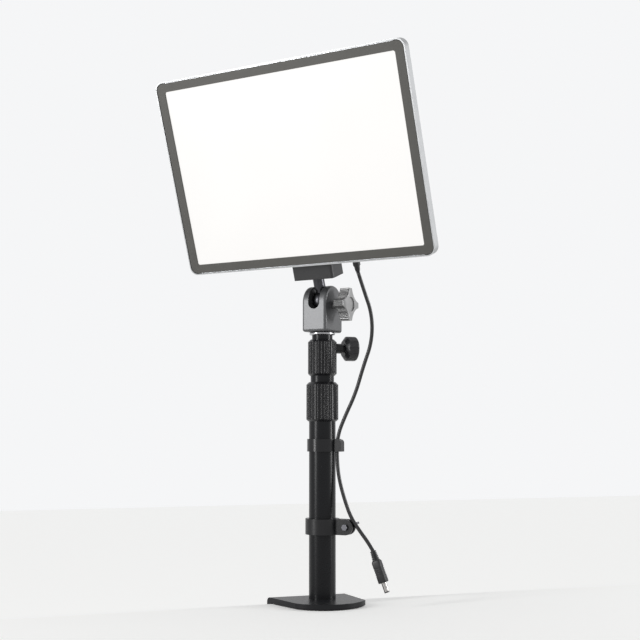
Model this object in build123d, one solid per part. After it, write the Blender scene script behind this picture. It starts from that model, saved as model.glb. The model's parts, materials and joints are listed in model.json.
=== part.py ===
from build123d import *
import math
import os

# LED light panel on a telescopic desk pole: clamp, three tubes, ball head and a lit panel.
# Millimetres, +Z up. Origin: on the pole's axis, at the underside of the clamp's upper jaw,
# where the table top is. -Y is the clamp's front, over the table; the web hangs behind it at +Y.
# The ball head and the panel are turned and tilted to the pose in which the lamp is set up.

# ---- pose of the head ----
HEAD_YAW = -49.5  # about the pole
HEAD_TILT = 19.5  # panel leans forward, face down
BALL_Z = 375.3  # ball's centre above the table, pole pushed in

# ---- fits ----
FIT = 0.1  # radial, screws and pins in their holes
SLIP = 0.3  # between curved faces of pieces that move past each other
OPEN_CUT = 1.0  # how far a cutting tool runs past a face

# ---- light panel ----
PANEL_W = 350.0
PANEL_H = 250.0
PANEL_T = 11.5
PANEL_CORNER_R = 11.0
RIM_W = 1.4
RIM_PROUD = 0.5
GROOVE_W = 0.8
BEZEL_W = 10.8
BEZEL_T = 1.8
OPENING_CORNER_R = 2.5
TRAY_BACK_T = 1.7
DIFFUSER_T = 2.0
DIFFUSER_LAP = 3.5
LIGHT_GUIDE_T = 3.4
LED_PITCH = 8.0
LED_L = 3.0
LED_H = 1.6
LED_W = 2.8
LED_AIR = 0.4
LED_BOARD_T = 1.2
FRONT_TO_STEM = 24.5  # panel's front plane ahead of the stem's axis
BALL_TO_PANEL = 50.7  # ball's centre to the panel's lower edge

# ---- rear housing and what it holds ----
HOUSING_W = 168.0
HOUSING_H = 118.0
HOUSING_D = 30.0
HOUSING_WALL = 2.0
HOUSING_CORNER_R = 14.0
HOUSING_EDGE_R = 3.0
HOUSING_LIFT = 1.0  # above the panel's lower edge
HOUSING_BOSS_R = 4.0
HOUSING_BOSS_IN = 8.0  # boss axis from the housing's sides
HOUSING_BOSS_TOP = 12.0  # from its top
HOUSING_BOSS_LOW = 40.0  # from its lower face
VENT_COUNT = 6
VENT_PITCH = 6.0
VENT_L = 42.0
VENT_W = 2.4
VENT_X = 44.0
VENT_Z = 72.0  # lowest slot above the housing's lower face
SCREW_R = 1.5
SCREW_HEAD_R = 2.8
SCREW_HEAD_T = 1.8
BOARD_W = 36.0
BOARD_H = 88.0
BOARD_T = 1.6
BOARD_GAP = 1.5
BOARD_X = 51.0
BOARD_HOLE_IN = 4.0
BOARD_HOLE_LOW = 20.0
STANDOFF_R = 3.0
BOARD_SCREW_R = 1.2
BOARD_SCREW_HEAD_R = 2.2
BOARD_SCREW_HEAD_T = 1.4
RADIO_W = 18.0
RADIO_H = 25.0
RADIO_T = 3.2
COIL_R = 6.5
COIL_H = 7.0
CAPACITOR_R = 4.0
CAPACITOR_H = 12.0
PART_PITCH = 18.0
COIL_X = 7.2  # coils on one side of the driver board's middle line
CAPACITOR_X = 9.0  # capacitors on the other
JACK_X = 60.0
JACK_W = 9.0
JACK_L = 14.0
JACK_BORE_DEPTH = 10.0
JACK_NOSE_R = 3.9
SWITCH_W = 6.0
SWITCH_T = 3.5
PLUNGER_R = 1.6
PLUNGER_L = 1.2
BUTTON_R = 5.0
BUTTON_FLANGE_R = 6.5
BUTTON_FLANGE_T = 1.2
BUTTON_PROUD = 1.2
BUTTON_CHAMFER = 0.4
BUTTON_TRAVEL = 0.6
BUTTON_STEM_R = 2.0
BUTTON_Z = 52.0  # above the housing's lower face
RADIO_Z = 76.0

# ---- mount block under the panel ----
BLOCK_W = 57.0
BLOCK_DROP = 19.9
BLOCK_UP = 22.0
BLOCK_CORNER_R = 3.4
BLOCK_LEDGE = 0.8
INSERT_R = 5.0
THREAD_R = 3.175  # quarter inch camera thread
THREAD_L = 9.0
BLOCK_SCREW_R = 2.0
BLOCK_SCREW_L = 10.0
BLOCK_SCREW_X = 15.0

# ---- ball head ----
BALL_R = 13.5
STEM_R = 7.2
STEM_NECK_R = 6.0
STEM_NECK_LOW = 10.0
STEM_NECK_TOP = 16.5
SLOT_W = 15.8
HEAD_W = 34.5
HEAD_ARCH_R = 21.7
HEAD_ARCH_DROP = 3.0  # arch's centre below the ball's
HEAD_EDGE_R = 3.5
HEAD_FOOT_R = 3.2  # round edges at the body's underside
HEAD_FOOT = 39.7  # ball's centre to the body's underside
LEAN_BACK = 30.0
LEAN_FORWARD = 99.0
SEAT_R = 9.0
SEAT_DEPTH = 17.0
SEAT_TOP = 8.0
SHOE_R = 4.0
SHOE_INSET = 1.5  # shoe's outer end inside the body's side
FOOT_NECK_R = 13.0
BASE_RING_R = 16.2
BASE_RING_T = 3.3
BASE_RING_GAP = 0.3
BASE_RING_CHAMFER = 1.0
KNOB_R = 20.6
KNOB_L = 13.5
KNOB_HUB_R = 5.0
KNOB_HUB_L = 10.5
KNOB_DROP = 6.0  # knob's axis below the ball's centre
KNOB_LOBES = 4
KNOB_VALLEY_R = 22.0
KNOB_VALLEY_AT = 35.4
KNOB_RECESS_R = 9.0
KNOB_RECESS_T = 1.5
KNOB_EDGE_R = 1.2
KNOB_SCREW_R = 3.0

# ---- telescopic pole ----
MAIN_R = 16.6
MAIN_WALL = 1.4
MAIN_TOP = 240.0
MID_R = 14.7
MID_WALL = 1.3
MID_BOTTOM = 34.0
MID_TOP = 298.0
TOP_R = 12.9
TOP_WALL = 1.2
TOP_BOTTOM = 54.0
GUIDE_FLANGE_T = 5.0
GUIDE_SPIGOT_L = 10.0
GUIDE_WALL = 1.6
COLLET_L = 20.0
UPPER_COLLET_L = 13.0
COLLET_OVER = 0.6  # collet's outside beyond the tube that it stands on
COLLET_SLIT_W = 1.6
COLLET_SLITS = 4
COLLET_ROOT = 5.0
LOWER_COLLAR_R = 20.0
LOWER_COLLAR_Z = (224.0, 273.0)
UPPER_COLLAR_R = 18.0
UPPER_COLLAR_Z = (281.0, 326.5)
COLLAR_CHAMFER = 3.2
COLLAR_FOOT_CHAMFER = 2.4
COLLAR_THREAD_WALL = 2.3
FLUTE_COUNT = 28
FLUTE_R = 1.5
FLUTE_DEPTH = 0.8
THUMB_Z = 315.7
THUMB_THREAD_R = 3.0
THUMB_BOSS_R = 6.3
THUMB_BOSS_END = 25.5
THUMB_SHAFT_R = 4.5
THUMB_SHAFT_END = 28.0
THUMB_KNOB_R = 15.5
THUMB_KNOB_L = 17.0
THUMB_CONE_R = 10.5
THUMB_CONE_L = 4.0
THUMB_DOME_R = 2.5
THUMB_FLUTES = 12
THUMB_SCREW_IN = 9.0
TOP_PLUG_L = 16.0
TOP_PLUG_RIM_T = 2.0
STUD_L = 7.0

# ---- things on the main tube ----
CABLE_YAW = -45.0  # side of the pole on which the cord runs
CLIP_Z = (186.8, 202.3)
CLIP_WALL = 2.4
CLIP_CHANNEL_W = 5.4
CLIP_CHANNEL_END = 25.3
CLIP_LOBE_R = 5.0
CLIP_MOUTH_W = 1.4
COLLAR_Z = (85.2, 104.4)
COLLAR_WALL = 4.5
EAR_T = 3.0
EAR_GAP = 5.0
EAR_BOLT_R = 2.0
EAR_BOLT_AT = 33.2
BOLT_HEAD_R = 4.0
BOLT_HEAD_T = 2.6
BOLT_END = 18.0
WING_HUB_R = 4.2
WING_HUB_T = 5.0
WING_SPAN = 12.0
WING_TURN = 25.0  # the nut as it stopped, wings off the level
WING_T = 2.4
WING_H = 10.0
WING_TIP_R = 3.2

# ---- desk clamp ----
PAD_T = 1.5
PAD_INSET = 3.0
JAW_T = 6.0
JAW_NOSE = 56.0  # front of the jaw ahead of the pole's axis
JAW_SHOULDERS = ((-45.0, -30.0), (43.5, -34.0))  # where the round nose meets the sides
JAW_BACK_X = (-62.0, 38.0)  # the pole stands off the middle of the back
WEB_T = 8.0
WEB_BACK = 30.0
THROAT = 70.0
ARM_T = 13.0
ARM_FRONT = -18.0
ARM_W = 44.0
WEB_TAPER_Z = (-23.0, -46.0)  # web narrows from the jaw's width to the arm's
CLAMP_BEND_R = 5.5
CLAMP_INNER_R = 3.0
SCREW_Y = -2.0
CLAMP_SCREW_R = 5.0
NUT_R = 8.0
TABLE_T = 30.0  # opening of the clamp as stored
PAD_RUBBER_T = 2.0
PAD_PLATE_R = 19.0
PAD_PLATE_T = 5.0
PAD_SOCKET_T = 3.0
CLAMP_FEED_UP = 28.0
HANDLE_R = 20.0
HANDLE_L = 18.0
HANDLE_HUB_R = 9.0
HANDLE_HUB_L = 3.0
HANDLE_EDGE_R = 3.0
HANDLE_FLUTES = 8
HANDLE_FLUTE_R = 5.0
HANDLE_FLUTE_DEPTH = 2.0
BASE_PLUG_L = 30.0
BASE_BOLT_R = 4.0
BASE_BOLT_HEAD_T = 4.0

# ---- cord ----
CORD_R = 2.3
CORD_FILL = 0.45  # share of a run that an arc takes
DC_PLUG_R = 4.6
DC_PLUG_L = 9.0
DC_RELIEF_L = 7.0
DC_RELIEF_R = 3.8
DC_RELIEF_TIP_R = 2.9
DC_BARREL_R = 2.75
DC_BARREL_L = 9.0
# Route after the plug under the panel, down to the middle of the upper clip.
UPPER_ROUTE = [
    (34.5, -54.5, 385.0),
    (47.0, -51.0, 355.5),
    (50.2, -42.5, 322.5),
    (42.0, -33.0, 291.0),
    (34.9, -25.3, 258.5),
    (22.6, -19.0, 229.0),
    (15.2, -14.9, 207.5),
    (14.3, -14.3, 194.7),
]
# Route from the clip to the loose plug: distance from the pole's axis, and height.
LOWER_ROUTE = [
    (20.22, 194.5),
    (20.22, 174.0),
    (23.2, 151.5),
    (30.6, 127.0),
    (39.0, 106.0),
    (51.6, 89.4),
    (62.2, 76.6),
    (67.6, 68.0),
]
PLUG_LEAN = 20.8  # loose plug's axis off the vertical
RELIEF_L = 12.5
RELIEF_R = 4.7
RELIEF_TIP_R = 3.5
PLUG_BODY_L = 27.5
PLUG_BODY_W = 9.8
PLUG_BODY_T = 10.8
PLUG_BODY_CHAMFER = 1.6
BARREL_R = 3.15
BARREL_L = 11.0
BARREL_BORE_R = 1.5
BARREL_RING_T = 1.4

# ---- sizes that follow ----
LOW = (Align.CENTER, Align.CENTER, Align.MIN)
PANEL_FRONT_Y = -FRONT_TO_STEM
PANEL_BACK_Y = PANEL_FRONT_Y + PANEL_T
PANEL_MID_Z = BALL_TO_PANEL + PANEL_H / 2
BEZEL_Y = PANEL_FRONT_Y + RIM_PROUD
DIFFUSER_Y = BEZEL_Y + BEZEL_T
GUIDE_Y = DIFFUSER_Y + DIFFUSER_T
REFLECTOR_Y = GUIDE_Y + LIGHT_GUIDE_T
TRAY_FLOOR_Y = PANEL_BACK_Y - TRAY_BACK_T
OPENING_W = PANEL_W - 2 * (RIM_W + GROOVE_W + BEZEL_W)
OPENING_H = PANEL_H - 2 * (RIM_W + GROOVE_W + BEZEL_W)
LED_COUNT = int(OPENING_W / LED_PITCH)
GUIDE_W = OPENING_W + 2 * DIFFUSER_LAP
GUIDE_H = OPENING_H + 2 * DIFFUSER_LAP
HOUSING_Z = BALL_TO_PANEL + HOUSING_LIFT
HOUSING_BACK_Y = PANEL_BACK_Y + HOUSING_D
BOARD_Y = PANEL_BACK_Y + BOARD_GAP
BOARD_FACE_Y = BOARD_Y + BOARD_T
BOARD_Z = HOUSING_Z + HOUSING_WALL + OPEN_CUT
JACK_Y = BOARD_FACE_Y + JACK_W / 2
BLOCK_Z = BALL_TO_PANEL - BLOCK_DROP
BLOCK_TOP = BALL_TO_PANEL + BLOCK_UP
COLLAR_MID = (COLLAR_Z[0] + COLLAR_Z[1]) / 2
POLE_FOOT = PAD_T + JAW_T
POLE_TOP = BALL_Z - HEAD_FOOT - BASE_RING_GAP - BASE_RING_T
PAD_TOP_Z = -TABLE_T
PAD_FOOT_Z = PAD_TOP_Z - PAD_RUBBER_T - PAD_PLATE_T
ARM_TOP_Z = -THROAT
ARM_FOOT_Z = ARM_TOP_Z - ARM_T
HANDLE_TOP_Z = ARM_FOOT_Z - CLAMP_FEED_UP - HANDLE_HUB_L - OPEN_CUT

# ---- helpers ----


def rod(radius, low, high, x=0.0, y=0.0):
    """Upright cylinder between two heights."""
    return Pos(x, y, low) * Cylinder(radius, high - low, align=LOW)


def tube(outer, inner, low, high):
    return rod(outer, low, high) - rod(inner, low - OPEN_CUT, high + OPEN_CUT)


def slab(x0, x1, y0, y1, z0, z1):
    """Box between two corners."""
    return Pos((x0 + x1) / 2, (y0 + y1) / 2, (z0 + z1) / 2) * Box(x1 - x0, y1 - y0, z1 - z0)


def sheet(width, height, radius, y, thickness, z=PANEL_MID_Z):
    """Upright plate with round corners, from y towards the back."""
    plan = RectangleRounded(width, height, radius)
    return Pos(0, y, z) * extrude(Plane.XZ * plan, -thickness)


def to_x(shape):
    """Turns what was built along +Z to run along +X."""
    return Rot(0, 90, 0) * shape


def to_y(shape):
    """Turns what was built along +Z to run along +Y."""
    return Rot(-90, 0, 0) * shape


def around(shape, count, first=0.0):
    return [Rot(0, 0, first + 360 * i / count) * shape for i in range(count)]


def head_place(shape):
    """From the ball head's frame, which pans with it, to the lamp's frame."""
    return Pos(0, 0, BALL_Z) * Rot(0, 0, HEAD_YAW) * shape


def panel_place(shape):
    """From the panel's frame, which also tilts about the ball, to the lamp's frame."""
    return Pos(0, 0, BALL_Z) * Rot(0, 0, HEAD_YAW) * Rot(HEAD_TILT, 0, 0) * shape


def cable_place(shape):
    """From a frame with +X towards the cord to the lamp's frame."""
    return Rot(0, 0, CABLE_YAW) * shape


def revolved(points):
    """Solid of revolution about Z from its (radius, height) outline."""
    outline = make_face(Polyline([(r, 0, z) for r, z in points], close=True))
    return revolve(outline, Axis.Z)


# ---- light panel ----


def board_holes():
    """Centres (x, z) of the screws of the two boards."""
    x = BOARD_W / 2 - BOARD_HOLE_IN
    low, high = BOARD_Z + BOARD_HOLE_LOW, BOARD_Z + BOARD_H - BOARD_HOLE_IN
    return [(s * BOARD_X + dx, z) for s in (-1, 1) for dx in (-x, x) for z in (low, high)]


def housing_holes():
    x = HOUSING_W / 2 - HOUSING_BOSS_IN
    low, high = HOUSING_Z + HOUSING_BOSS_LOW, HOUSING_Z + HOUSING_H - HOUSING_BOSS_TOP
    return [(s * x, z) for s in (-1, 1) for z in (low, high)]


def pin_y(radius, x, z, y0, y1):
    """Cylinder along Y between two depths."""
    return Pos(x, y0, z) * to_y(Cylinder(radius, y1 - y0, align=LOW))


def tray():
    body = sheet(PANEL_W, PANEL_H, PANEL_CORNER_R, PANEL_FRONT_Y, PANEL_T)
    inner = sheet(
        PANEL_W - 2 * RIM_W,
        PANEL_H - 2 * RIM_W,
        PANEL_CORNER_R - RIM_W,
        PANEL_FRONT_Y - OPEN_CUT,
        TRAY_FLOOR_Y - PANEL_FRONT_Y + OPEN_CUT,
    )
    body -= inner
    for x, z in board_holes():
        body += pin_y(STANDOFF_R, x, z, TRAY_FLOOR_Y, BOARD_Y)
        body -= pin_y(BOARD_SCREW_R + FIT, x, z, TRAY_FLOOR_Y + FIT, BOARD_Y + OPEN_CUT)
    for x, z in housing_holes():
        body -= pin_y(SCREW_R + FIT, x, z, TRAY_FLOOR_Y - OPEN_CUT, PANEL_BACK_Y + OPEN_CUT)
    for s in (-1, 1):
        cone = Cone(BLOCK_SCREW_R + TRAY_BACK_T, BLOCK_SCREW_R, TRAY_BACK_T, align=LOW)
        x, z = s * BLOCK_SCREW_X, BALL_TO_PANEL + BLOCK_UP / 2
        body -= Pos(x, TRAY_FLOOR_Y, z) * to_y(cone)
        body -= pin_y(BLOCK_SCREW_R + FIT, x, z, TRAY_FLOOR_Y, PANEL_BACK_Y + OPEN_CUT)
    return body


def front_bezel():
    outer = sheet(
        PANEL_W - 2 * (RIM_W + GROOVE_W),
        PANEL_H - 2 * (RIM_W + GROOVE_W),
        PANEL_CORNER_R - RIM_W - GROOVE_W,
        BEZEL_Y,
        BEZEL_T,
    )
    depth = BEZEL_T + 2 * OPEN_CUT
    return outer - sheet(OPENING_W, OPENING_H, OPENING_CORNER_R, BEZEL_Y - OPEN_CUT, depth)


def diffuser():
    return sheet(GUIDE_W, GUIDE_H, OPENING_CORNER_R, DIFFUSER_Y, DIFFUSER_T)


def light_guide():
    return sheet(GUIDE_W, GUIDE_H, OPENING_CORNER_R, GUIDE_Y, LIGHT_GUIDE_T)


def reflector():
    return sheet(GUIDE_W, GUIDE_H, OPENING_CORNER_R, REFLECTOR_Y, TRAY_FLOOR_Y - REFLECTOR_Y)


def led_zone():
    """Distances from the panel's middle: LED faces, board face, bar face, tray wall."""
    led = GUIDE_H / 2 + LED_AIR
    board = led + LED_H
    return led, board, board + LED_BOARD_T, PANEL_H / 2 - RIM_W - FIT


def led_pieces():
    """LED packages, their two boards and the two heat bars, above and below the light guide."""
    led, board, bar, wall = led_zone()
    half = LED_COUNT * LED_PITCH / 2
    mid_y = GUIDE_Y + LIGHT_GUIDE_T / 2
    leds, boards, bars = [], [], []
    for s in (-1, 1):

        def layer(x0, x1, y0, y1, near, far):
            low, high = sorted((PANEL_MID_Z + s * near, PANEL_MID_Z + s * far))
            return slab(x0, x1, y0, y1, low, high)

        boards.append(layer(-half, half, DIFFUSER_Y, TRAY_FLOOR_Y, board, bar))
        bars.append(layer(-half, half, DIFFUSER_Y, TRAY_FLOOR_Y, bar, wall))
        for i in range(LED_COUNT):
            x = (i + 0.5) * LED_PITCH - half
            leds.append(
                layer(x - LED_L / 2, x + LED_L / 2, mid_y - LED_W / 2, mid_y + LED_W / 2, led, board)
            )
    return leds, boards, bars


def block_envelope(grow=0.0):
    """Mount block's outline, or the notch for it."""
    depth = HOUSING_D + 2 * grow
    plan = RectangleRounded(BLOCK_W + 2 * grow, depth, BLOCK_CORNER_R)
    low = BLOCK_Z - (OPEN_CUT if grow else 0)
    return Pos(0, PANEL_BACK_Y + HOUSING_D / 2, low) * extrude(plan, BLOCK_TOP + grow - low)


def mount_block():
    body = block_envelope()
    body &= slab(-BLOCK_W, BLOCK_W, PANEL_BACK_Y, HOUSING_BACK_Y, BLOCK_Z, BLOCK_TOP)
    ledge = BALL_TO_PANEL - BLOCK_LEDGE
    ledge_y = PANEL_BACK_Y + BLOCK_LEDGE
    body -= slab(-BLOCK_W, BLOCK_W, PANEL_BACK_Y - OPEN_CUT, ledge_y, ledge, BALL_TO_PANEL)
    body -= rod(INSERT_R, BLOCK_Z - OPEN_CUT, BLOCK_Z + THREAD_L + OPEN_CUT)
    for s in (-1, 1):
        z = BALL_TO_PANEL + BLOCK_UP / 2
        end = PANEL_BACK_Y + BLOCK_SCREW_L + OPEN_CUT
        body -= pin_y(BLOCK_SCREW_R + FIT, s * BLOCK_SCREW_X, z, PANEL_BACK_Y - OPEN_CUT, end)
    return body


def thread_insert():
    return tube(INSERT_R, THREAD_R + FIT, BLOCK_Z, BLOCK_Z + THREAD_L)


def block_screws():
    screws = []
    for s in (-1, 1):
        x, z = s * BLOCK_SCREW_X, BALL_TO_PANEL + BLOCK_UP / 2
        head = Cone(BLOCK_SCREW_R + TRAY_BACK_T - FIT, BLOCK_SCREW_R - FIT, TRAY_BACK_T, align=LOW)
        shank = pin_y(BLOCK_SCREW_R, x, z, TRAY_FLOOR_Y + FIT, PANEL_BACK_Y + BLOCK_SCREW_L)
        screws.append(Pos(x, TRAY_FLOOR_Y, z) * to_y(head) + shank)
    return screws


def rear_housing():
    mid_z = HOUSING_Z + HOUSING_H / 2
    outer = sheet(HOUSING_W, HOUSING_H, HOUSING_CORNER_R, PANEL_BACK_Y, HOUSING_D, mid_z)
    outer = fillet(outer.faces().sort_by(Axis.Y)[-1].edges(), HOUSING_EDGE_R)
    inner = sheet(
        HOUSING_W - 2 * HOUSING_WALL,
        HOUSING_H - 2 * HOUSING_WALL,
        HOUSING_CORNER_R - HOUSING_WALL,
        PANEL_BACK_Y - OPEN_CUT,
        HOUSING_D - HOUSING_WALL + OPEN_CUT,
        mid_z,
    )
    body = outer - inner
    for x, z in housing_holes():
        body += pin_y(HOUSING_BOSS_R, x, z, PANEL_BACK_Y, HOUSING_BACK_Y - HOUSING_WALL)
        body -= pin_y(SCREW_R + FIT, x, z, PANEL_BACK_Y - OPEN_CUT, HOUSING_BACK_Y + OPEN_CUT)
        seat = HOUSING_BACK_Y - SCREW_HEAD_T
        body -= pin_y(SCREW_HEAD_R + FIT, x, z, seat, HOUSING_BACK_Y + OPEN_CUT)
    body -= block_envelope(SLIP)
    slot = extrude(Plane.XZ * SlotOverall(VENT_L, VENT_W), 2 * HOUSING_WALL, both=True)
    for i in range(VENT_COUNT):
        z = HOUSING_Z + VENT_Z + VENT_PITCH * i
        body -= [Pos(s * VENT_X, HOUSING_BACK_Y, z) * slot for s in (-1, 1)]
    z = HOUSING_Z + BUTTON_Z
    body -= pin_y(BUTTON_R + SLIP, BOARD_X, z, PANEL_BACK_Y + HOUSING_WALL, HOUSING_BACK_Y + OPEN_CUT)
    low = HOUSING_Z - OPEN_CUT
    return body - rod(JACK_NOSE_R + SLIP, low, HOUSING_Z + HOUSING_WALL + OPEN_CUT, JACK_X, JACK_Y)


def housing_screws():
    seat = HOUSING_BACK_Y - SCREW_HEAD_T
    return [
        pin_y(SCREW_R, x, z, TRAY_FLOOR_Y + FIT, seat)
        + pin_y(SCREW_HEAD_R, x, z, seat, HOUSING_BACK_Y)
        for x, z in housing_holes()
    ]


def board(side):
    x = side * BOARD_X
    plate = slab(x - BOARD_W / 2, x + BOARD_W / 2, BOARD_Y, BOARD_FACE_Y, BOARD_Z, BOARD_Z + BOARD_H)
    for hole_x, z in board_holes():
        plate -= pin_y(BOARD_SCREW_R + FIT, hole_x, z, BOARD_Y - OPEN_CUT, BOARD_FACE_Y + OPEN_CUT)
    return plate


def board_screws():
    return [
        pin_y(BOARD_SCREW_R, x, z, TRAY_FLOOR_Y + 2 * FIT, BOARD_FACE_Y)
        + pin_y(BOARD_SCREW_HEAD_R, x, z, BOARD_FACE_Y, BOARD_FACE_Y + BOARD_SCREW_HEAD_T)
        for x, z in board_holes()
    ]


def radio_module():
    low = HOUSING_Z + RADIO_Z - RADIO_H / 2
    x = BOARD_X - RADIO_W / 2
    return slab(x, x + RADIO_W, BOARD_FACE_Y, BOARD_FACE_Y + RADIO_T, low, low + RADIO_H)


def driver_components():
    """Two power coils and three capacitors that stand on the driver board."""
    mid = BOARD_Z + BOARD_H / 2
    pieces = []
    for s in (-1, 1):
        z = mid + s * PART_PITCH / 2
        pieces.append(pin_y(COIL_R, -BOARD_X - COIL_X, z, BOARD_FACE_Y, BOARD_FACE_Y + COIL_H))
    for s in (-1, 0, 1):
        x, z = CAPACITOR_X - BOARD_X, mid + s * PART_PITCH
        pieces.append(pin_y(CAPACITOR_R, x, z, BOARD_FACE_Y, BOARD_FACE_Y + CAPACITOR_H))
    return pieces


def dc_jack():
    low = HOUSING_Z + HOUSING_WALL + FIT
    body = slab(
        JACK_X - JACK_W / 2, JACK_X + JACK_W / 2, BOARD_FACE_Y, BOARD_FACE_Y + JACK_W, low, low + JACK_L
    )
    body += rod(JACK_NOSE_R, HOUSING_Z, low + OPEN_CUT, JACK_X, JACK_Y)
    return body - rod(DC_BARREL_R + FIT, HOUSING_Z - OPEN_CUT, HOUSING_Z + JACK_BORE_DEPTH, JACK_X, JACK_Y)


def tact_switch():
    half = SWITCH_W / 2
    z = HOUSING_Z + BUTTON_Z
    return slab(BOARD_X - half, BOARD_X + half, BOARD_FACE_Y, BOARD_FACE_Y + SWITCH_T, z - half, z + half)


def switch_plunger():
    y = BOARD_FACE_Y + SWITCH_T + BUTTON_TRAVEL
    return pin_y(PLUNGER_R, BOARD_X, HOUSING_Z + BUTTON_Z, y + FIT, y + PLUNGER_L)


def power_button():
    z = HOUSING_Z + BUTTON_Z
    top = HOUSING_BACK_Y + BUTTON_PROUD
    under = HOUSING_BACK_Y - HOUSING_WALL
    body = pin_y(BUTTON_R, BOARD_X, z, under, top)
    body = chamfer(body.faces().sort_by(Axis.Y)[-1].edges(), BUTTON_CHAMFER)
    body += pin_y(BUTTON_FLANGE_R, BOARD_X, z, under - BUTTON_FLANGE_T, under)
    stem_end = BOARD_FACE_Y + SWITCH_T + BUTTON_TRAVEL + PLUNGER_L
    return body + pin_y(BUTTON_STEM_R, BOARD_X, z, stem_end, under)


def dc_plug():
    """Plug in the panel's jack, with the barrel up inside it."""
    low = HOUSING_Z - DC_PLUG_L
    body = rod(DC_PLUG_R, low, HOUSING_Z, JACK_X, JACK_Y)
    body += rod(DC_BARREL_R, HOUSING_Z, HOUSING_Z + DC_BARREL_L, JACK_X, JACK_Y)
    relief = Cone(DC_RELIEF_TIP_R, DC_RELIEF_R, DC_RELIEF_L, align=LOW)
    return body + Pos(JACK_X, JACK_Y, low - DC_RELIEF_L) * relief


# ---- ball head ----


def ball_stem():
    body = Sphere(BALL_R) + rod(STEM_NECK_R, STEM_NECK_LOW, STEM_NECK_TOP)
    body += rod(STEM_R, STEM_NECK_TOP, BLOCK_Z)
    return body + rod(THREAD_R, BLOCK_Z, BLOCK_Z + THREAD_L - OPEN_CUT)


def stem_slot():
    """Space that the stem sweeps, from leaning forward to leaning back."""
    far = 2 * HEAD_ARCH_R
    half = SLOT_W / 2
    reach = rod(half, 0, far)
    forward = Rot(LEAN_FORWARD, 0, 0) * reach
    back = Rot(-LEAN_BACK, 0, 0) * reach
    steps = [
        (far * -math.sin(math.radians(a)), far * math.cos(math.radians(a)))
        for a in (LEAN_FORWARD, LEAN_FORWARD / 2, 0, -LEAN_BACK)
    ]
    wedge = make_face(Polyline([(0, 0)] + steps, close=True))
    return forward + back + extrude(Plane.YZ * wedge, half, both=True)


def knob_axis(shape):
    """Turns what was built along +Z to run along the locking knob's axis."""
    return Pos(0, 0, -KNOB_DROP) * to_x(shape)


def head_body():
    side = make_face(
        Polyline(
            [
                (-HEAD_ARCH_R, -HEAD_ARCH_DROP),
                (-HEAD_ARCH_R, -HEAD_FOOT),
                (HEAD_ARCH_R, -HEAD_FOOT),
                (HEAD_ARCH_R, -HEAD_ARCH_DROP),
            ],
            close=True,
        )
    ) + Pos(0, -HEAD_ARCH_DROP) * Circle(HEAD_ARCH_R)
    body = extrude(Plane.YZ * side, HEAD_W / 2, both=True)
    rims = [
        e
        for e in body.edges()
        if abs(abs(e.center().X) - HEAD_W / 2) < FIT and e.center().Z > FIT - HEAD_FOOT
    ]
    body = fillet(rims, HEAD_EDGE_R)
    body = fillet(body.faces().sort_by(Axis.Z)[0].edges(), HEAD_FOOT_R)
    body -= Sphere(BALL_R + SLIP)
    body -= stem_slot()
    body -= rod(SEAT_R + FIT, -SEAT_DEPTH, -SEAT_TOP)
    body -= knob_axis(rod(SHOE_R + FIT, 0, HEAD_W / 2 - SHOE_INSET))
    body -= knob_axis(rod(KNOB_SCREW_R + FIT, 0, HEAD_W))
    body += rod(FOOT_NECK_R, -HEAD_FOOT - BASE_RING_GAP, -HEAD_FOOT)
    return body - rod(THREAD_R + FIT, -HEAD_FOOT - BASE_RING_GAP - OPEN_CUT, -HEAD_FOOT + STUD_L)


def head_base_ring():
    low = -HEAD_FOOT - BASE_RING_GAP - BASE_RING_T
    ring = rod(BASE_RING_R, low, low + BASE_RING_T)
    ring = chamfer(ring.edges(), BASE_RING_CHAMFER)
    return ring - rod(THREAD_R + FIT, low - OPEN_CUT, low + BASE_RING_T + OPEN_CUT)


def ball_seat():
    return rod(SEAT_R, -SEAT_DEPTH, -SEAT_TOP) - Sphere(BALL_R + SLIP)


def brake_shoe():
    return knob_axis(rod(SHOE_R, BALL_R / 2, HEAD_W / 2 - SHOE_INSET)) - Sphere(BALL_R + SLIP)


def head_knob():
    hub_x = HEAD_W / 2
    face = hub_x + KNOB_HUB_L
    grip = rod(KNOB_R, face, face + KNOB_L)
    valley = rod(KNOB_VALLEY_R, face - OPEN_CUT, face + KNOB_L + OPEN_CUT, KNOB_VALLEY_AT)
    grip -= around(valley, KNOB_LOBES, 180 / KNOB_LOBES)
    grip = fillet(grip.faces().sort_by(Axis.Z)[-1].edges(), KNOB_EDGE_R)
    grip -= rod(KNOB_RECESS_R, face + KNOB_L - KNOB_RECESS_T, face + KNOB_L + OPEN_CUT)
    grip += rod(KNOB_HUB_R, hub_x, face)
    grip -= rod(KNOB_SCREW_R + FIT / 2, hub_x - OPEN_CUT, face + KNOB_L / 2)
    return knob_axis(grip)


def head_knob_screw():
    return knob_axis(rod(KNOB_SCREW_R, HEAD_W / 2 - SHOE_INSET, HEAD_W / 2 + KNOB_HUB_L + KNOB_L / 2))


# ---- pole ----


def guide(tube_r, tube_wall, outer_r, low):
    """Bush on a tube's lower end: a flange that slides in the outer tube, and a spigot."""
    spigot = tube_r - tube_wall - FIT
    foot, top = low - GUIDE_FLANGE_T, low + GUIDE_SPIGOT_L
    bush = rod(outer_r - FIT, foot, low) + rod(spigot, low, top)
    return bush - rod(spigot - GUIDE_WALL, foot - OPEN_CUT, top + OPEN_CUT)


def collet(inner_r, outer_r, low, length):
    ring = tube(outer_r, inner_r, low, low + length)
    half = COLLET_SLIT_W / 2
    slit = slab(inner_r / 2, 2 * outer_r, -half, half, low + COLLET_ROOT, low + 2 * length)
    return ring - around(slit, COLLET_SLITS)


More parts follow.
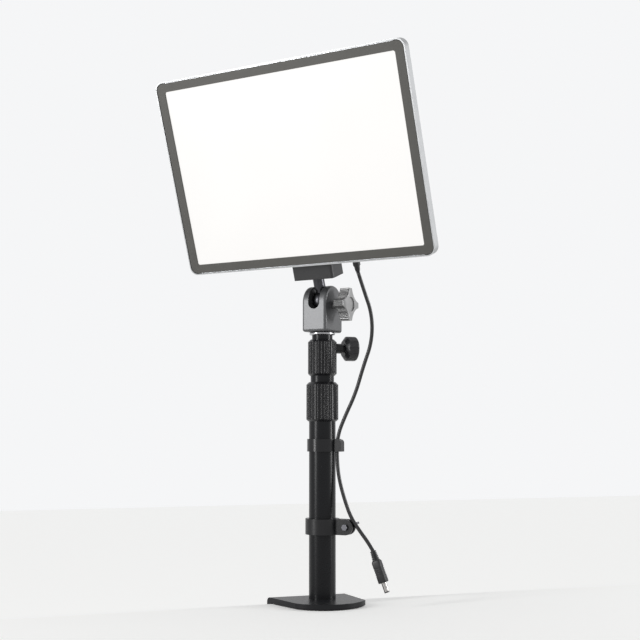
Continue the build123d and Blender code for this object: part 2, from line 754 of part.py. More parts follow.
def lock_collar(radius, span, seat_r, inner_r, seat_z, collet_l):
    """Fluted sleeve: turns on the outer tube, closes the collet on the inner one."""
    low, high = span
    chamfer_low, chamfer_top = COLLAR_FOOT_CHAMFER, COLLAR_CHAMFER
    body = revolved(
        [
            (0, low),
            (radius - chamfer_low, low),
            (radius, low + chamfer_low),
            (radius, high - chamfer_top),
            (radius - chamfer_top, high),
            (0, high),
        ]
    )
    flute = rod(FLUTE_R, low + chamfer_low, high - chamfer_top, radius + FLUTE_R - FLUTE_DEPTH)
    body -= around(flute, FLUTE_COUNT)
    body -= rod(seat_r + SLIP, low - OPEN_CUT, seat_z + SLIP)
    body -= rod(radius - COLLAR_THREAD_WALL, seat_z, seat_z + collet_l + SLIP)
    return body - rod(inner_r + SLIP, low, high + OPEN_CUT)


def upper_lock_collar():
    """Upper collar, with the boss that the thumb screw runs in."""
    body = lock_collar(UPPER_COLLAR_R, UPPER_COLLAR_Z, MID_R, TOP_R, MID_TOP, UPPER_COLLET_L)
    root = UPPER_COLLAR_R - COLLAR_THREAD_WALL / 2
    body += Pos(0, 0, THUMB_Z) * to_x(rod(THUMB_BOSS_R, root, THUMB_BOSS_END))
    return body - Pos(0, 0, THUMB_Z) * to_x(rod(THUMB_THREAD_R + FIT, 0, 2 * UPPER_COLLAR_R))


def thumb_screw():
    return Pos(0, 0, THUMB_Z) * to_x(rod(THUMB_THREAD_R, TOP_R + SLIP, THUMB_SHAFT_END + THUMB_SCREW_IN))


def thumb_knob():
    end = THUMB_SHAFT_END + THUMB_KNOB_L
    grip = rod(THUMB_KNOB_R, THUMB_SHAFT_END + THUMB_CONE_L, end)
    flute = rod(FLUTE_R, THUMB_SHAFT_END, end + OPEN_CUT, THUMB_KNOB_R + FLUTE_R - FLUTE_DEPTH)
    grip = fillet(grip.faces().sort_by(Axis.Z)[-1].edges(), THUMB_DOME_R)
    grip += Pos(0, 0, THUMB_SHAFT_END) * Cone(THUMB_CONE_R, THUMB_KNOB_R, THUMB_CONE_L, align=LOW)
    grip -= around(flute, THUMB_FLUTES)
    grip += rod(THUMB_SHAFT_R, THUMB_BOSS_END + SLIP, THUMB_SHAFT_END + THUMB_CONE_L)
    grip -= rod(THUMB_THREAD_R + FIT / 2, 0, THUMB_SHAFT_END + THUMB_SCREW_IN)
    return Pos(0, 0, THUMB_Z) * to_x(grip)


def top_plug():
    inner = TOP_R - TOP_WALL - FIT
    body = rod(inner, POLE_TOP - TOP_PLUG_L, POLE_TOP) + rod(TOP_R, POLE_TOP - TOP_PLUG_RIM_T, POLE_TOP)
    return body + rod(THREAD_R, POLE_TOP, POLE_TOP + BASE_RING_T + BASE_RING_GAP + STUD_L - OPEN_CUT)


def upper_cable_clip():
    low, high = CLIP_Z
    outer = MAIN_R + CLIP_WALL
    lobe_w = CLIP_CHANNEL_W + 2 * CLIP_WALL
    end = CLIP_CHANNEL_END + CLIP_WALL
    lobe = slab(0, end, -lobe_w / 2, lobe_w / 2, low, high)
    corners = lobe.edges().filter_by(Axis.Y).group_by(Axis.X)[-1]
    lobe = fillet(corners.sort_by(Axis.Z)[-1], CLIP_LOBE_R)
    body = rod(outer, low, high) + lobe
    body -= rod(MAIN_R + FIT, low - OPEN_CUT, high + OPEN_CUT)
    half = CLIP_CHANNEL_W / 2
    body -= slab(0, CLIP_CHANNEL_END, -half, half, low - OPEN_CUT, high + OPEN_CUT)
    mouth = CLIP_CHANNEL_END - CLIP_MOUTH_W
    body -= slab(mouth, CLIP_CHANNEL_END, 0, lobe_w, low - OPEN_CUT, high + OPEN_CUT)
    return body


def cable_collar():
    low, high = COLLAR_Z
    width = EAR_GAP + 2 * EAR_T
    end_r = (high - low) / 2
    ears = slab(0, EAR_BOLT_AT, -width / 2, width / 2, low, high)
    ears += Pos(EAR_BOLT_AT, -width / 2, COLLAR_MID) * to_y(Cylinder(end_r, width, align=LOW))
    body = rod(MAIN_R + COLLAR_WALL, low, high) + ears
    body -= rod(MAIN_R + FIT, low - OPEN_CUT, high + OPEN_CUT)
    body -= slab(0, 2 * EAR_BOLT_AT, -EAR_GAP / 2, EAR_GAP / 2, low - OPEN_CUT, high + OPEN_CUT)
    return body - pin_y(EAR_BOLT_R + FIT, EAR_BOLT_AT, COLLAR_MID, -width, width)


def collar_bolt():
    face = EAR_GAP / 2 + EAR_T
    head = RegularPolygon(BOLT_HEAD_R, 6)
    bolt = Pos(EAR_BOLT_AT, -face, COLLAR_MID) * extrude(Plane.XZ * head, BOLT_HEAD_T)
    return bolt + pin_y(EAR_BOLT_R, EAR_BOLT_AT, COLLAR_MID, -face, BOLT_END)


def wing_nut():
    face = EAR_GAP / 2 + EAR_T
    body = pin_y(WING_HUB_R, EAR_BOLT_AT, COLLAR_MID, face, face + WING_HUB_T)
    half = WING_T / 2
    for s in (-1, 1):
        x0, x1 = sorted((EAR_BOLT_AT + s * WING_HUB_R / 2, EAR_BOLT_AT + s * WING_SPAN))
        wing = slab(x0, x1, face + OPEN_CUT, face + WING_H, COLLAR_MID - half, COLLAR_MID + half)
        tip = wing.edges().filter_by(Axis.Z).group_by(Axis.X)[-1 if s > 0 else 0]
        body += fillet(tip, WING_TIP_R)
    body -= pin_y(EAR_BOLT_R + FIT, EAR_BOLT_AT, COLLAR_MID, face - OPEN_CUT, face + 2 * WING_H)
    return Pos(EAR_BOLT_AT, 0, COLLAR_MID) * Rot(0, -WING_TURN, 0) * Pos(-EAR_BOLT_AT, 0, -COLLAR_MID) * body


# ---- desk clamp ----


def jaw_plan(back, inset=0.0):
    """Upper jaw from above: a round nose, sides that flare, and a straight back."""
    left, right = JAW_SHOULDERS
    nose = ThreePointArc(left, (0, -JAW_NOSE), right)
    sides = Polyline([right, (JAW_BACK_X[1], back), (JAW_BACK_X[0], back), left])
    plan = make_face(nose + sides)
    return offset(plan, -inset, kind=Kind.INTERSECTION) if inset else plan


def clamp_bracket():
    low_x, high_x = JAW_BACK_X
    web_y = WEB_BACK - WEB_T
    plan = jaw_plan(WEB_BACK)
    body = Pos(0, 0, PAD_T) * extrude(plan, JAW_T)
    web = make_face(
        Polyline(
            [
                (low_x, POLE_FOOT),
                (high_x, POLE_FOOT),
                (high_x, WEB_TAPER_Z[0]),
                (ARM_W / 2, WEB_TAPER_Z[1]),
                (ARM_W / 2, ARM_FOOT_Z),
                (-ARM_W / 2, ARM_FOOT_Z),
                (-ARM_W / 2, WEB_TAPER_Z[1]),
                (low_x, WEB_TAPER_Z[0]),
            ],
            close=True,
        )
    )
    web = Pos(0, web_y, 0) * extrude(Plane.XZ * web, -WEB_T)
    body += web & (Pos(0, 0, ARM_FOOT_Z) * extrude(plan, POLE_FOOT - ARM_FOOT_Z))
    arm = slab(-ARM_W / 2, ARM_W / 2, SCREW_Y, WEB_BACK, ARM_FOOT_Z, ARM_TOP_Z)
    arm += rod(-(ARM_FRONT - SCREW_Y), ARM_FOOT_Z, ARM_TOP_Z, 0, SCREW_Y)
    body += arm
    back = [e for e in body.edges().filter_by(Axis.X) if abs(e.center().Y - WEB_BACK) < FIT]
    body = fillet(back, CLAMP_BEND_R)
    inner = [
        e
        for e in body.edges().filter_by(Axis.X)
        if abs(e.center().Y - web_y) < FIT
        and min(abs(e.center().Z - PAD_T), abs(e.center().Z - ARM_TOP_Z)) < FIT
    ]
    body = fillet(inner, CLAMP_INNER_R)
    body -= rod(NUT_R, ARM_FOOT_Z - OPEN_CUT, ARM_TOP_Z + OPEN_CUT, 0, SCREW_Y)
    body -= rod(BASE_BOLT_R + FIT, 0, POLE_FOOT + OPEN_CUT)
    head = Cone(BASE_BOLT_R + BASE_BOLT_HEAD_T, BASE_BOLT_R, BASE_BOLT_HEAD_T, align=LOW)
    return body - Pos(0, 0, PAD_T) * head


def top_pad():
    return extrude(jaw_plan(WEB_BACK - WEB_T - CLAMP_INNER_R, PAD_INSET), PAD_T)


def base_plug():
    body = rod(MAIN_R - MAIN_WALL - FIT, POLE_FOOT, POLE_FOOT + BASE_PLUG_L / 2)
    return body - rod(BASE_BOLT_R + FIT / 2, POLE_FOOT - OPEN_CUT, POLE_FOOT + BASE_PLUG_L)


def base_bolt():
    head = Cone(BASE_BOLT_R + BASE_BOLT_HEAD_T - FIT, BASE_BOLT_R - FIT, BASE_BOLT_HEAD_T, align=LOW)
    end = POLE_FOOT + BASE_PLUG_L / 2 - OPEN_CUT
    return Pos(0, 0, PAD_T) * head + rod(BASE_BOLT_R, PAD_T + BASE_BOLT_HEAD_T / 2, end)


def jaw_nut():
    return Pos(0, SCREW_Y, 0) * tube(NUT_R, CLAMP_SCREW_R + FIT, ARM_FOOT_Z, ARM_TOP_Z)


def clamp_screw():
    top = PAD_FOOT_Z + PAD_SOCKET_T
    return rod(CLAMP_SCREW_R, HANDLE_TOP_Z - HANDLE_L / 2, top, 0, SCREW_Y)


def screw_knob():
    low = HANDLE_TOP_Z - HANDLE_L
    grip = rod(HANDLE_R, low, HANDLE_TOP_Z)
    flute_x = HANDLE_R + HANDLE_FLUTE_R - HANDLE_FLUTE_DEPTH
    flute = rod(HANDLE_FLUTE_R, low - OPEN_CUT, HANDLE_TOP_Z + OPEN_CUT, flute_x)
    grip = fillet(grip.edges(), HANDLE_EDGE_R)
    grip -= around(flute, HANDLE_FLUTES)
    grip += rod(HANDLE_HUB_R, HANDLE_TOP_Z - HANDLE_EDGE_R, HANDLE_TOP_Z + HANDLE_HUB_L)
    grip -= rod(CLAMP_SCREW_R + FIT / 2, HANDLE_TOP_Z - HANDLE_L / 2, HANDLE_TOP_Z + 2 * HANDLE_HUB_L)
    return Pos(0, SCREW_Y, 0) * grip


def swivel_pad():
    top = PAD_TOP_Z - PAD_RUBBER_T
    plate = rod(PAD_PLATE_R, PAD_FOOT_Z, top)
    plate = chamfer(plate.faces().sort_by(Axis.Z)[0].edges(), OPEN_CUT)
    plate -= rod(CLAMP_SCREW_R + FIT, PAD_FOOT_Z - OPEN_CUT, PAD_FOOT_Z + PAD_SOCKET_T)
    return Pos(0, SCREW_Y, 0) * plate


def pad_rubber():
    return rod(PAD_PLATE_R - OPEN_CUT, PAD_TOP_Z - PAD_RUBBER_T, PAD_TOP_Z, 0, SCREW_Y)


# ---- cord ----


def cord(points, label):
    """Tube along straight runs joined by arcs as large as the runs allow."""
    points = [Vector(*p) for p in points]
    radii = []
    for a, b, c in zip(points, points[1:], points[2:]):
        turn = math.radians((b - a).get_angle(c - b))
        radii.append(CORD_FILL * min((b - a).length, (c - b).length) / math.tan(turn / 2))
    path = FilletPolyline(points, radius=radii)
    start = Plane(origin=path @ 0, z_dir=path % 0)
    solid = sweep(start * Circle(CORD_R), path=path)
    share = solid.volume / (math.pi * CORD_R**2 * path.length)
    print(label, f"length {path.length:.1f}, smallest radius {min(radii):.1f}, volume share {share:.4f}")
    return solid


def plug_exit():
    """Where the cord leaves the plug under the panel."""
    return panel_place(Pos(JACK_X, JACK_Y, HOUSING_Z - DC_PLUG_L - DC_RELIEF_L)).position


def cord_upper():
    return cord([tuple(plug_exit())] + UPPER_ROUTE, "cord_upper")


def lower_points():
    return [cable_place(Pos(r, 0, z)).position for r, z in LOWER_ROUTE]


def cord_lower():
    return cord([tuple(p) for p in lower_points()], "cord_lower")


def loose_place(shape):
    """From the loose plug's frame, +Z along it to the tip, to the lamp's frame."""
    r, z = LOWER_ROUTE[-1]
    return cable_place(Pos(r, 0, z) * Rot(0, 180 - PLUG_LEAN, 0) * shape)


def loose_plug():
    relief = Cone(RELIEF_TIP_R, RELIEF_R, RELIEF_L, align=LOW)
    x, y, end = PLUG_BODY_T / 2, PLUG_BODY_W / 2, RELIEF_L + PLUG_BODY_L
    body = slab(-x, x, -y, y, RELIEF_L, end)
    body = chamfer(body.edges().filter_by(Axis.Z), PLUG_BODY_CHAMFER)
    body += relief
    return loose_place(body - rod(BARREL_R + FIT / 2, end - BARREL_L / 2, end + OPEN_CUT))


def loose_barrel():
    low = RELIEF_L + PLUG_BODY_L
    shell = rod(BARREL_R, low - BARREL_L / 2, low + BARREL_L)
    return loose_place(shell - rod(BARREL_BORE_R, low, low + 2 * BARREL_L))


def loose_tip():
    low = RELIEF_L + PLUG_BODY_L + BARREL_L
    return loose_place(tube(BARREL_R - FIT, BARREL_BORE_R, low, low + BARREL_RING_T))


# ---- nodes ----

leds, led_boards, heat_bars = led_pieces()

PANEL_NODES = {
    "tray": tray(),
    "front_bezel": front_bezel(),
    "diffuser": diffuser(),
    "light_guide": light_guide(),
    "reflector": reflector(),
    "leds": leds,
    "led_boards": led_boards,
    "heat_bars": heat_bars,
    "rear_housing": rear_housing(),
    "housing_screws": housing_screws(),
    "mount_block": mount_block(),
    "block_screws": block_screws(),
    "thread_insert": thread_insert(),
    "control_board": board(1),
    "driver_board": board(-1),
    "board_screws": board_screws(),
    "radio_module": radio_module(),
    "driver_components": driver_components(),
    "dc_jack": dc_jack(),
    "tact_switch": tact_switch(),
    "switch_plunger": switch_plunger(),
    "power_button": power_button(),
    "dc_plug": dc_plug(),
    "ball_stem": ball_stem(),
}

HEAD_NODES = {
    "head_body": head_body(),
    "head_base_ring": head_base_ring(),
    "ball_seat": ball_seat(),
    "brake_shoe": brake_shoe(),
    "head_knob": head_knob(),
    "head_knob_screw": head_knob_screw(),
}

POLE_NODES = {
    "main_tube": tube(MAIN_R, MAIN_R - MAIN_WALL, POLE_FOOT, MAIN_TOP),
    "mid_tube": tube(MID_R, MID_R - MID_WALL, MID_BOTTOM, MID_TOP),
    "top_tube": tube(TOP_R, TOP_R - TOP_WALL, TOP_BOTTOM, POLE_TOP - TOP_PLUG_RIM_T),
    "mid_guide": guide(MID_R, MID_WALL, MAIN_R - MAIN_WALL, MID_BOTTOM),
    "top_guide": guide(TOP_R, TOP_WALL, MID_R - MID_WALL, TOP_BOTTOM),
    "lower_collet": collet(MID_R + SLIP, MAIN_R + COLLET_OVER, MAIN_TOP, COLLET_L),
    "upper_collet": collet(TOP_R + SLIP, MID_R + COLLET_OVER, MID_TOP, UPPER_COLLET_L),
    "lower_lock_collar": lock_collar(
        LOWER_COLLAR_R, LOWER_COLLAR_Z, MAIN_R, MID_R, MAIN_TOP, COLLET_L
    ),
    "upper_lock_collar": upper_lock_collar(),
    "thumb_screw": thumb_screw(),
    "thumb_knob": thumb_knob(),
    "top_plug": top_plug(),
}

CABLE_NODES = {
    "upper_cable_clip": upper_cable_clip(),
    "cable_collar": cable_collar(),
    "collar_bolt": collar_bolt(),
    "wing_nut": wing_nut(),
}

CLAMP_NODES = {
    "clamp_bracket": clamp_bracket(),
    "top_pad": top_pad(),
    "base_plug": base_plug(),
    "base_bolt": base_bolt(),
    "jaw_nut": jaw_nut(),
    "clamp_screw": clamp_screw(),
    "screw_knob": screw_knob(),
    "swivel_pad": swivel_pad(),
    "pad_rubber": pad_rubber(),
}

CORD_NODES = {
    "cord_upper": cord_upper(),
    "cord_lower": cord_lower(),
    "loose_plug": loose_plug(),
    "loose_barrel": loose_barrel(),
    "loose_tip": loose_tip(),
}


def placed(shape, place):
    """One solid, or a group of separate ones, put in the lamp's frame."""
    return Compound(children=[place(s) for s in shape]) if isinstance(shape, list) else place(shape)


def as_built(shape):
    return shape


def main():
    os.makedirs("parts", exist_ok=True)
    groups = [
        (PANEL_NODES, panel_place),
        (HEAD_NODES, head_place),
        (POLE_NODES, as_built),
        (CABLE_NODES, cable_place),
        (CLAMP_NODES, as_built),
        (CORD_NODES, as_built),
    ]
    for nodes, place in groups:
        for name, shape in nodes.items():
            export_step(placed(shape, place), f"parts/{name}.step")


main()
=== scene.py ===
"""LED light panel on a ball head and a telescopic desk pole: finishes, cords and fine pieces."""

import json
import math

import bmesh
import bpy
from bpy.props import FloatProperty, FloatVectorProperty, IntProperty, PointerProperty
from bpy.types import Operator, Panel, PropertyGroup
from mathutils import Matrix, Vector


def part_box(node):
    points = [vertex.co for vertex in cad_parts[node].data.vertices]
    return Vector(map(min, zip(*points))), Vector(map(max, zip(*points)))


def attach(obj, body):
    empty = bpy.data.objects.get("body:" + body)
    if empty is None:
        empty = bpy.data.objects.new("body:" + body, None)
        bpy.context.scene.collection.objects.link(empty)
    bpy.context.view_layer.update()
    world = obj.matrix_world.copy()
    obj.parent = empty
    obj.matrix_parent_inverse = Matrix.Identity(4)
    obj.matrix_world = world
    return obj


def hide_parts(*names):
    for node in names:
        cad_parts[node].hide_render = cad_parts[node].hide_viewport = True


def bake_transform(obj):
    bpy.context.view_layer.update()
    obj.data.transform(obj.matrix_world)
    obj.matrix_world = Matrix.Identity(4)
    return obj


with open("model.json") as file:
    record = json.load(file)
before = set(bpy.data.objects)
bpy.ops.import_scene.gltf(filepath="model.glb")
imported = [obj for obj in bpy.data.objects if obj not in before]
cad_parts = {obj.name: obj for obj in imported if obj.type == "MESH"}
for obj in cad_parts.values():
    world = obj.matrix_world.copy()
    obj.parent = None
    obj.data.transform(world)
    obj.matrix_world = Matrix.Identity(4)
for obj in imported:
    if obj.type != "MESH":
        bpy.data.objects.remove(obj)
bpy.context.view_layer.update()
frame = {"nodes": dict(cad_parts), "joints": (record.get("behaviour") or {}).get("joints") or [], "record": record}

bl_info = {
    "name": "Panel Lamp",
    "version": (1, 0, 0),
    "blender": (4, 5, 0),
    "location": "View3D > Sidebar > Panel Lamp",
    "description": "Dresses a desk panel lamp: finishes, cords and fine pieces",
    "category": "Object",
}

SLOT_COLOUR = {m["slot"]: tuple(m["base_color"][:3]) for m in frame["record"]["materials"]}
NODE_SLOT = {s["node"]: s["material_slot"] for s in frame["record"]["subparts"]}
JOINT = {j["name"]: j for j in frame["joints"]}

# ---- the lamp's own frames ----
HEAD_YAW = math.radians(-49.5)
HEAD_TILT = math.radians(19.5)
CABLE_YAW = math.radians(-45.0)
PLUG_LEAN = math.radians(20.8)
BALL = Vector(JOINT["ball_tilt"]["pos_m"])
HEAD_FRAME = Matrix.Translation(BALL) @ Matrix.Rotation(HEAD_YAW, 4, "Z")
PANEL_FRAME = HEAD_FRAME @ Matrix.Rotation(HEAD_TILT, 4, "X")
CABLE_FRAME = Matrix.Rotation(CABLE_YAW, 4, "Z")

# ---- the cords' routes, in metres ----
# From the strain relief's end under the panel's jack, down to the upper clip.
CORD_EXIT = (0.02603, -0.05667, 0.40715)
UPPER_ROUTE = [
    CORD_EXIT,
    (0.0345, -0.0545, 0.3850),
    (0.0470, -0.0510, 0.3555),
    (0.0502, -0.0425, 0.3225),
    (0.0420, -0.0330, 0.2910),
    (0.0349, -0.0253, 0.2585),
    (0.0226, -0.0190, 0.2290),
    (0.0152, -0.0149, 0.2075),
    (0.0143, -0.0143, 0.1947),
]
# From the clip to the loose plug: distance from the pole's axis, and height.
LOWER_ROUTE = [
    (0.02022, 0.1945),
    (0.02022, 0.1740),
    (0.0232, 0.1515),
    (0.0306, 0.1270),
    (0.0390, 0.1060),
    (0.0516, 0.0894),
    (0.0622, 0.0766),
    (0.0676, 0.0680),
]
# The upper cord's pieces, from the clip up: the two bodies of each, and the height where it ends.
CORD_CUTS = [
    ("stand", "mid_pole", 0.236),
    ("mid_pole", "top_pole", 0.280),
    ("top_pole", "ball_head", 0.325),
    ("ball_head", "ball", 0.373),
    ("ball", "panel", math.inf),
]

# ---- the plugs, in metres along each from its cord ----
PANEL_RELIEF = {"tip": 0.0029, "root": 0.0038, "length": 0.007, "ribs": 4}
PANEL_PLUG = [
    # distance, radius
    (0.007, 0.0040),
    (0.0075, 0.0045),
    (0.0082, 0.0046),
    (0.0152, 0.0046),
    (0.0158, 0.0042),
    (0.0160, 0.00275),
    (0.0248, 0.00275),
    (0.0250, 0.0025),
]
LOOSE_RELIEF = {"tip": 0.0035, "root": 0.0047, "length": 0.0125}
LOOSE_WIDE, LOOSE_DEEP = 0.0049, 0.0054
LOOSE_SHOULDER = [
    # distance, share of the full width, squareness
    (0.0125, 0.86, 3.0),
    (0.0132, 0.96, 4.5),
    (0.0142, 1.0, 6.0),
    (0.0205, 1.0, 7.0),
]
LOOSE_GROOVES = [0.0215 + 0.0026 * k for k in range(4)]
LOOSE_GROOVE = [(0.0, 1.0, 7.0), (0.0003, 0.93, 7.0), (0.0011, 0.93, 7.0), (0.0014, 1.0, 7.0)]
LOOSE_END = [(0.0390, 1.0, 7.0), (0.0396, 0.97, 6.0), (0.0400, 0.9, 5.0)]
LOOSE_MOUTH = (0.0400, 0.0034)

# ---- the housing's screws and the locking knob, in metres ----
SCREW_HEAD_HIGH, SCREW_HEAD_R, SHANK_R = 0.0018, 0.0028, 0.0015
SCREW_HEAD_ROUND, SCREW_HEAD_BREAK = 0.0004, 0.0002
TIP_TAPER, TIP_SHARE = 0.0005, 0.8
SOCKET_DEPTH_SHARE, SOCKET_CHAMFER_SHARE, SOCKET_CHAMFER = 0.7, 1.1, 0.0002
# The locking knob is plain to this depth from its end face, and inside this radius.
KNOB_FACE, KNOB_DISH_R = 0.0012, 0.0094

# ---- the clamp's screw, in metres ----
ROD_SIDES, ROD_RINGS_IN_TURN = 28, 8
ROD_POINT, ROD_PLAIN, ROD_STEEPNESS = 0.0015, 0.004, 1.25

# Corners sharper than these stay crisp on turned and squared pieces, and on the thread.
CRISP, THREAD_CRISP = math.radians(32.0), math.radians(50.0)
UP = (0.0, 0.0, 1.0)
# A Mix node has a set of sockets for each kind of data: these are its colour's.
MIX_FACTOR, MIX_LOW, MIX_HIGH, MIX_RESULT = 0, 6, 7, 2


def sized(label, about, metres):
    return FloatProperty(name=label, description=about, default=metres, unit="LENGTH")


def turned(label, about, degrees):
    turn = math.radians(degrees)
    return FloatProperty(name=label, description=about, default=turn, unit="ROTATION")


def plain(label, about, value):
    return FloatProperty(name=label, description=about, default=value)


def counted(label, about, value, least):
    return IntProperty(name=label, description=about, default=value, min=least)


def coloured(label, about, default):
    return FloatVectorProperty(
        name=label, description=about, default=default, subtype="COLOR", size=3, min=0.0, max=1.0
    )


class LampStage(PropertyGroup):
    """Floor, light and camera round the lamp."""

    distance: sized("Distance", "Camera to the pole's axis", 1.416)
    offset: sized("Offset", "Pole's axis right of the camera's line", 0.0029)
    height: sized("Height", "Camera above the table top", 0.2188)
    azimuth: turned("Azimuth", "Camera's place round the pole", -19.5)
    pitch: turned("Pitch", "Camera looks up by this", 5.35)
    lens: plain("Lens", "Focal length in millimetres", 63.44)
    sensor: plain("Sensor", "Sensor's width in millimetres", 36.0)
    table_depth: sized("Table depth", "Table top from its back edge forward", 0.9)
    table_width: sized("Table width", "Table top from side to side", 2.4)
    table_back: sized("Table back", "Table's back edge behind the pole's axis", 0.021)
    table_thick: sized("Table thickness", "Fits the clamp's opening", 0.0299)
    floor_drop: sized("Floor", "Floor below the table top", 0.74)
    ground: coloured("Ground", "Floor and table", (0.82, 0.82, 0.81))
    floor_reach: sized("Floor's reach", "Floor from its middle to its edges", 12.0)
    table_lift: plain("Table lift", "Table's paleness to the eye", 0.20)
    floor_lift: plain("Floor lift", "Floor's paleness to the eye", 0.53)
    room: plain("Room", "Strength of the room's light", 0.52)
    room_tint: coloured("Room's tint", "Room's light and backdrop", (0.985, 0.99, 1.0))
    backdrop: plain("Backdrop", "Paleness of the backdrop", 0.93)
    lamp_distance: sized("Lamp distance", "Lamps from the pole's axis", 2.2)
    lamp_width: sized("Lamp width", "Width of the tall lamps", 0.24)
    lamp_height: sized("Lamp height", "Height of the tall lamps", 1.2)
    lamp_rise: sized("Lamp rise", "Lamps' middle above the table top", 0.68)
    key: plain("Key", "Power of the left lamp in watts", 30.0)
    rim: plain("Rim", "Power of the right lamp in watts", 32.0)
    key_turn: turned("Key's turn", "Left lamp's place, from the camera's", -60.0)
    rim_turn: turned("Rim's turn", "Right lamp's place, from the camera's", 86.0)


class LampFinish(PropertyGroup):
    """Colours of the lamp's finishes, named for the slots that they are on, and its light."""

    shell_silver: coloured("Shell", "Panel's tray and rim", (0.37, 0.375, 0.38))
    bezel_black: coloured("Bezel", "Frame round the light", (0.078, 0.076, 0.070))
    pole_black: coloured("Pole", "Anodised tubes", (0.0065, 0.0068, 0.0078))
    collar_black: coloured("Collar", "Lock collars and cable guides", (0.007, 0.007, 0.008))
    head_grey: coloured("Head", "Ball head's body", (0.108, 0.109, 0.112))
    head_knob_grey: coloured("Head knob", "Lobed knob at the head's side", (0.25, 0.25, 0.25))
    bracket_black: coloured("Bracket", "Powder-coated clamp", (0.012, 0.0125, 0.014))
    housing_black: coloured("Housing", "Cover on the panel's back", (0.030, 0.031, 0.033))
    # Painted shade: the block gets a darker grey than the head's, for the shade that falls under the panel.
    block_graphite: coloured("Block", "Block under the panel", (0.046, 0.046, 0.047))
    glow: coloured("Glow", "Light of the diffuser", (1.0, 0.985, 0.965))
    glow_strength: plain("Glow strength", "Light of the diffuser", 0.87)


class LampDetail(PropertyGroup):
    """Sizes of the fine pieces."""

    thread_pitch: sized("Thread pitch", "Clamp screw's rise in a turn", 0.002)
    thread_depth: sized("Thread depth", "Clamp screw's crest over its root", 0.0011)
    knurl_lines: counted("Knurl lines", "Lines round the locking knob", 92, 3)
    hex_across: sized("Hex socket", "Across the flats of the screws' sockets", 0.0025)


class LampCord(PropertyGroup):
    """The two cords and the plugs on them."""

    diameter: sized("Diameter", "Cord's thickness", 0.0046)
    sides: counted("Sides", "Points round the upper cord", 20, 8)
    steps: counted("Steps", "Rings for each point of the route", 12, 4)
    ribs: counted("Ribs", "Ribs on the loose plug's strain relief", 6, 2)


# ---- shader maths ----


class Value:
    """One output of a node. Sums on it add Math nodes to its tree."""

    def __init__(self, nodes, socket):
        self.nodes = nodes
        self.socket = socket

    def __add__(self, other):
        return self.nodes.sum("ADD", self, other)

    def __sub__(self, other):
        return self.nodes.sum("SUBTRACT", self, other)

    def __rsub__(self, other):
        return self.nodes.sum("SUBTRACT", other, self)

    def __mul__(self, other):
        return self.nodes.sum("MULTIPLY", self, other)

    __radd__ = __add__
    __rmul__ = __mul__

    def rising(self, low, high):
        """Rises from 0 to 1 between two values."""
        sockets = {"Value": self, "From Min": low, "From Max": high}
        return self.nodes.node("MapRange", {"interpolation_type": "SMOOTHSTEP"}, sockets)


class Nodes:
    """A tree of nodes: each is added by the one method, node."""

    def __init__(self, tree):
        self.tree = tree

    def node(self, kind, settings=None, sockets=None, output=0):
        """Adds a node: its settings first, then the values or links of its sockets."""
        made = self.tree.nodes.new("ShaderNode" + kind)
        for key, value in (settings or {}).items():
            setattr(made, key, value)
        for key, value in (sockets or {}).items():
            if isinstance(value, Value):
                self.tree.links.new(value.socket, made.inputs[key])
            else:
                made.inputs[key].default_value = value
        return Value(self, made.outputs[output])

    def sum(self, operation, *terms):
        return self.node("Math", {"operation": operation}, dict(enumerate(terms)))

    def seen(self):
        """1 for what the eye, a mirror or glass sees, and 0 for light that falls on things."""
        eye, mirror, glass = (
            self.node("LightPath", output=ray)
            for ray in ("Is Camera Ray", "Is Glossy Ray", "Is Transmission Ray")
        )
        return self.sum("MAXIMUM", eye, self.sum("MAXIMUM", mirror, glass))


class Finish(Nodes):
    """A material on the principled shader, and the nodes that are added to it."""

    def __init__(self, name):
        self.material = bpy.data.materials.new(name)
        self.material.use_nodes = True
        super().__init__(self.material.node_tree)
        self.shader = self.tree.nodes["Principled BSDF"]

    def place(self):
        """Place on the piece, in metres, as it is at rest."""
        return self.node("TexCoord", output="Object")

    def along(self, way, place=None):
        """Distance along a direction, of the place on the piece or of one that is given."""
        sockets = {0: place or self.place(), 1: way}
        return self.node("VectorMath", {"operation": "DOT_PRODUCT"}, sockets, output="Value")

    def noise(self, scale, detail=2.0):
        sockets = {"Vector": self.place(), "Scale": scale, "Detail": detail, "Roughness": 0.55}
        return self.node("TexNoise", {}, sockets)

    def cells(self, scale, randomness=1.0):
        """Distance to the middle of the nearest of many small cells."""
        sockets = {"Vector": self.place(), "Scale": scale, "Randomness": randomness}
        return self.node("TexVoronoi", {"feature": "F1"}, sockets)

    def lines(self, pitch, wander_scale, wander):
        """Lines square to Z, from -1 to 1, with a little wander."""
        phase = self.along(UP) * (math.tau / pitch) + self.noise(wander_scale) * wander
        return self.sum("SINE", phase)

    def mixed(self, factor, low, high):
        """Colour between two colours, either of which may vary."""
        low, high = (c if isinstance(c, Value) else (*c, 1.0) for c in (low, high))
        sockets = {MIX_FACTOR: factor, MIX_LOW: low, MIX_HIGH: high}
        return self.node("Mix", {"data_type": "RGBA"}, sockets, output=MIX_RESULT)

    def shades(self, factor, colour, dark, light):
        """Colour between a dark and a light share of one colour."""
        return self.mixed(factor, shaded(colour, dark), shaded(colour, light))

    def uneven(self, rough, pattern, swing, below):
        """Roughness that a pattern lifts by its swing, from a little below the plain value."""
        return pattern * swing + (rough - below)

    def bump(self, height, distance, edge=0.0):
        """Fine relief in metres, on edges that are softened by a radius."""
        sockets = {"Height": height, "Distance": distance}
        if edge:
            sockets["Normal"] = self.node("Bevel", {"samples": 6}, {"Radius": edge})
        self.feed(Normal=self.node("Bump", {}, sockets))

    def feed(self, **sockets):
        """Links or sets sockets of the shader; an underscore stands for a space."""
        for key, value in sockets.items():
            target = self.shader.inputs[key.replace("_", " ")]
            if isinstance(value, Value):
                self.tree.links.new(value.socket, target)
            elif isinstance(value, tuple):
                target.default_value = (*value, 1.0)
            else:
                target.default_value = value


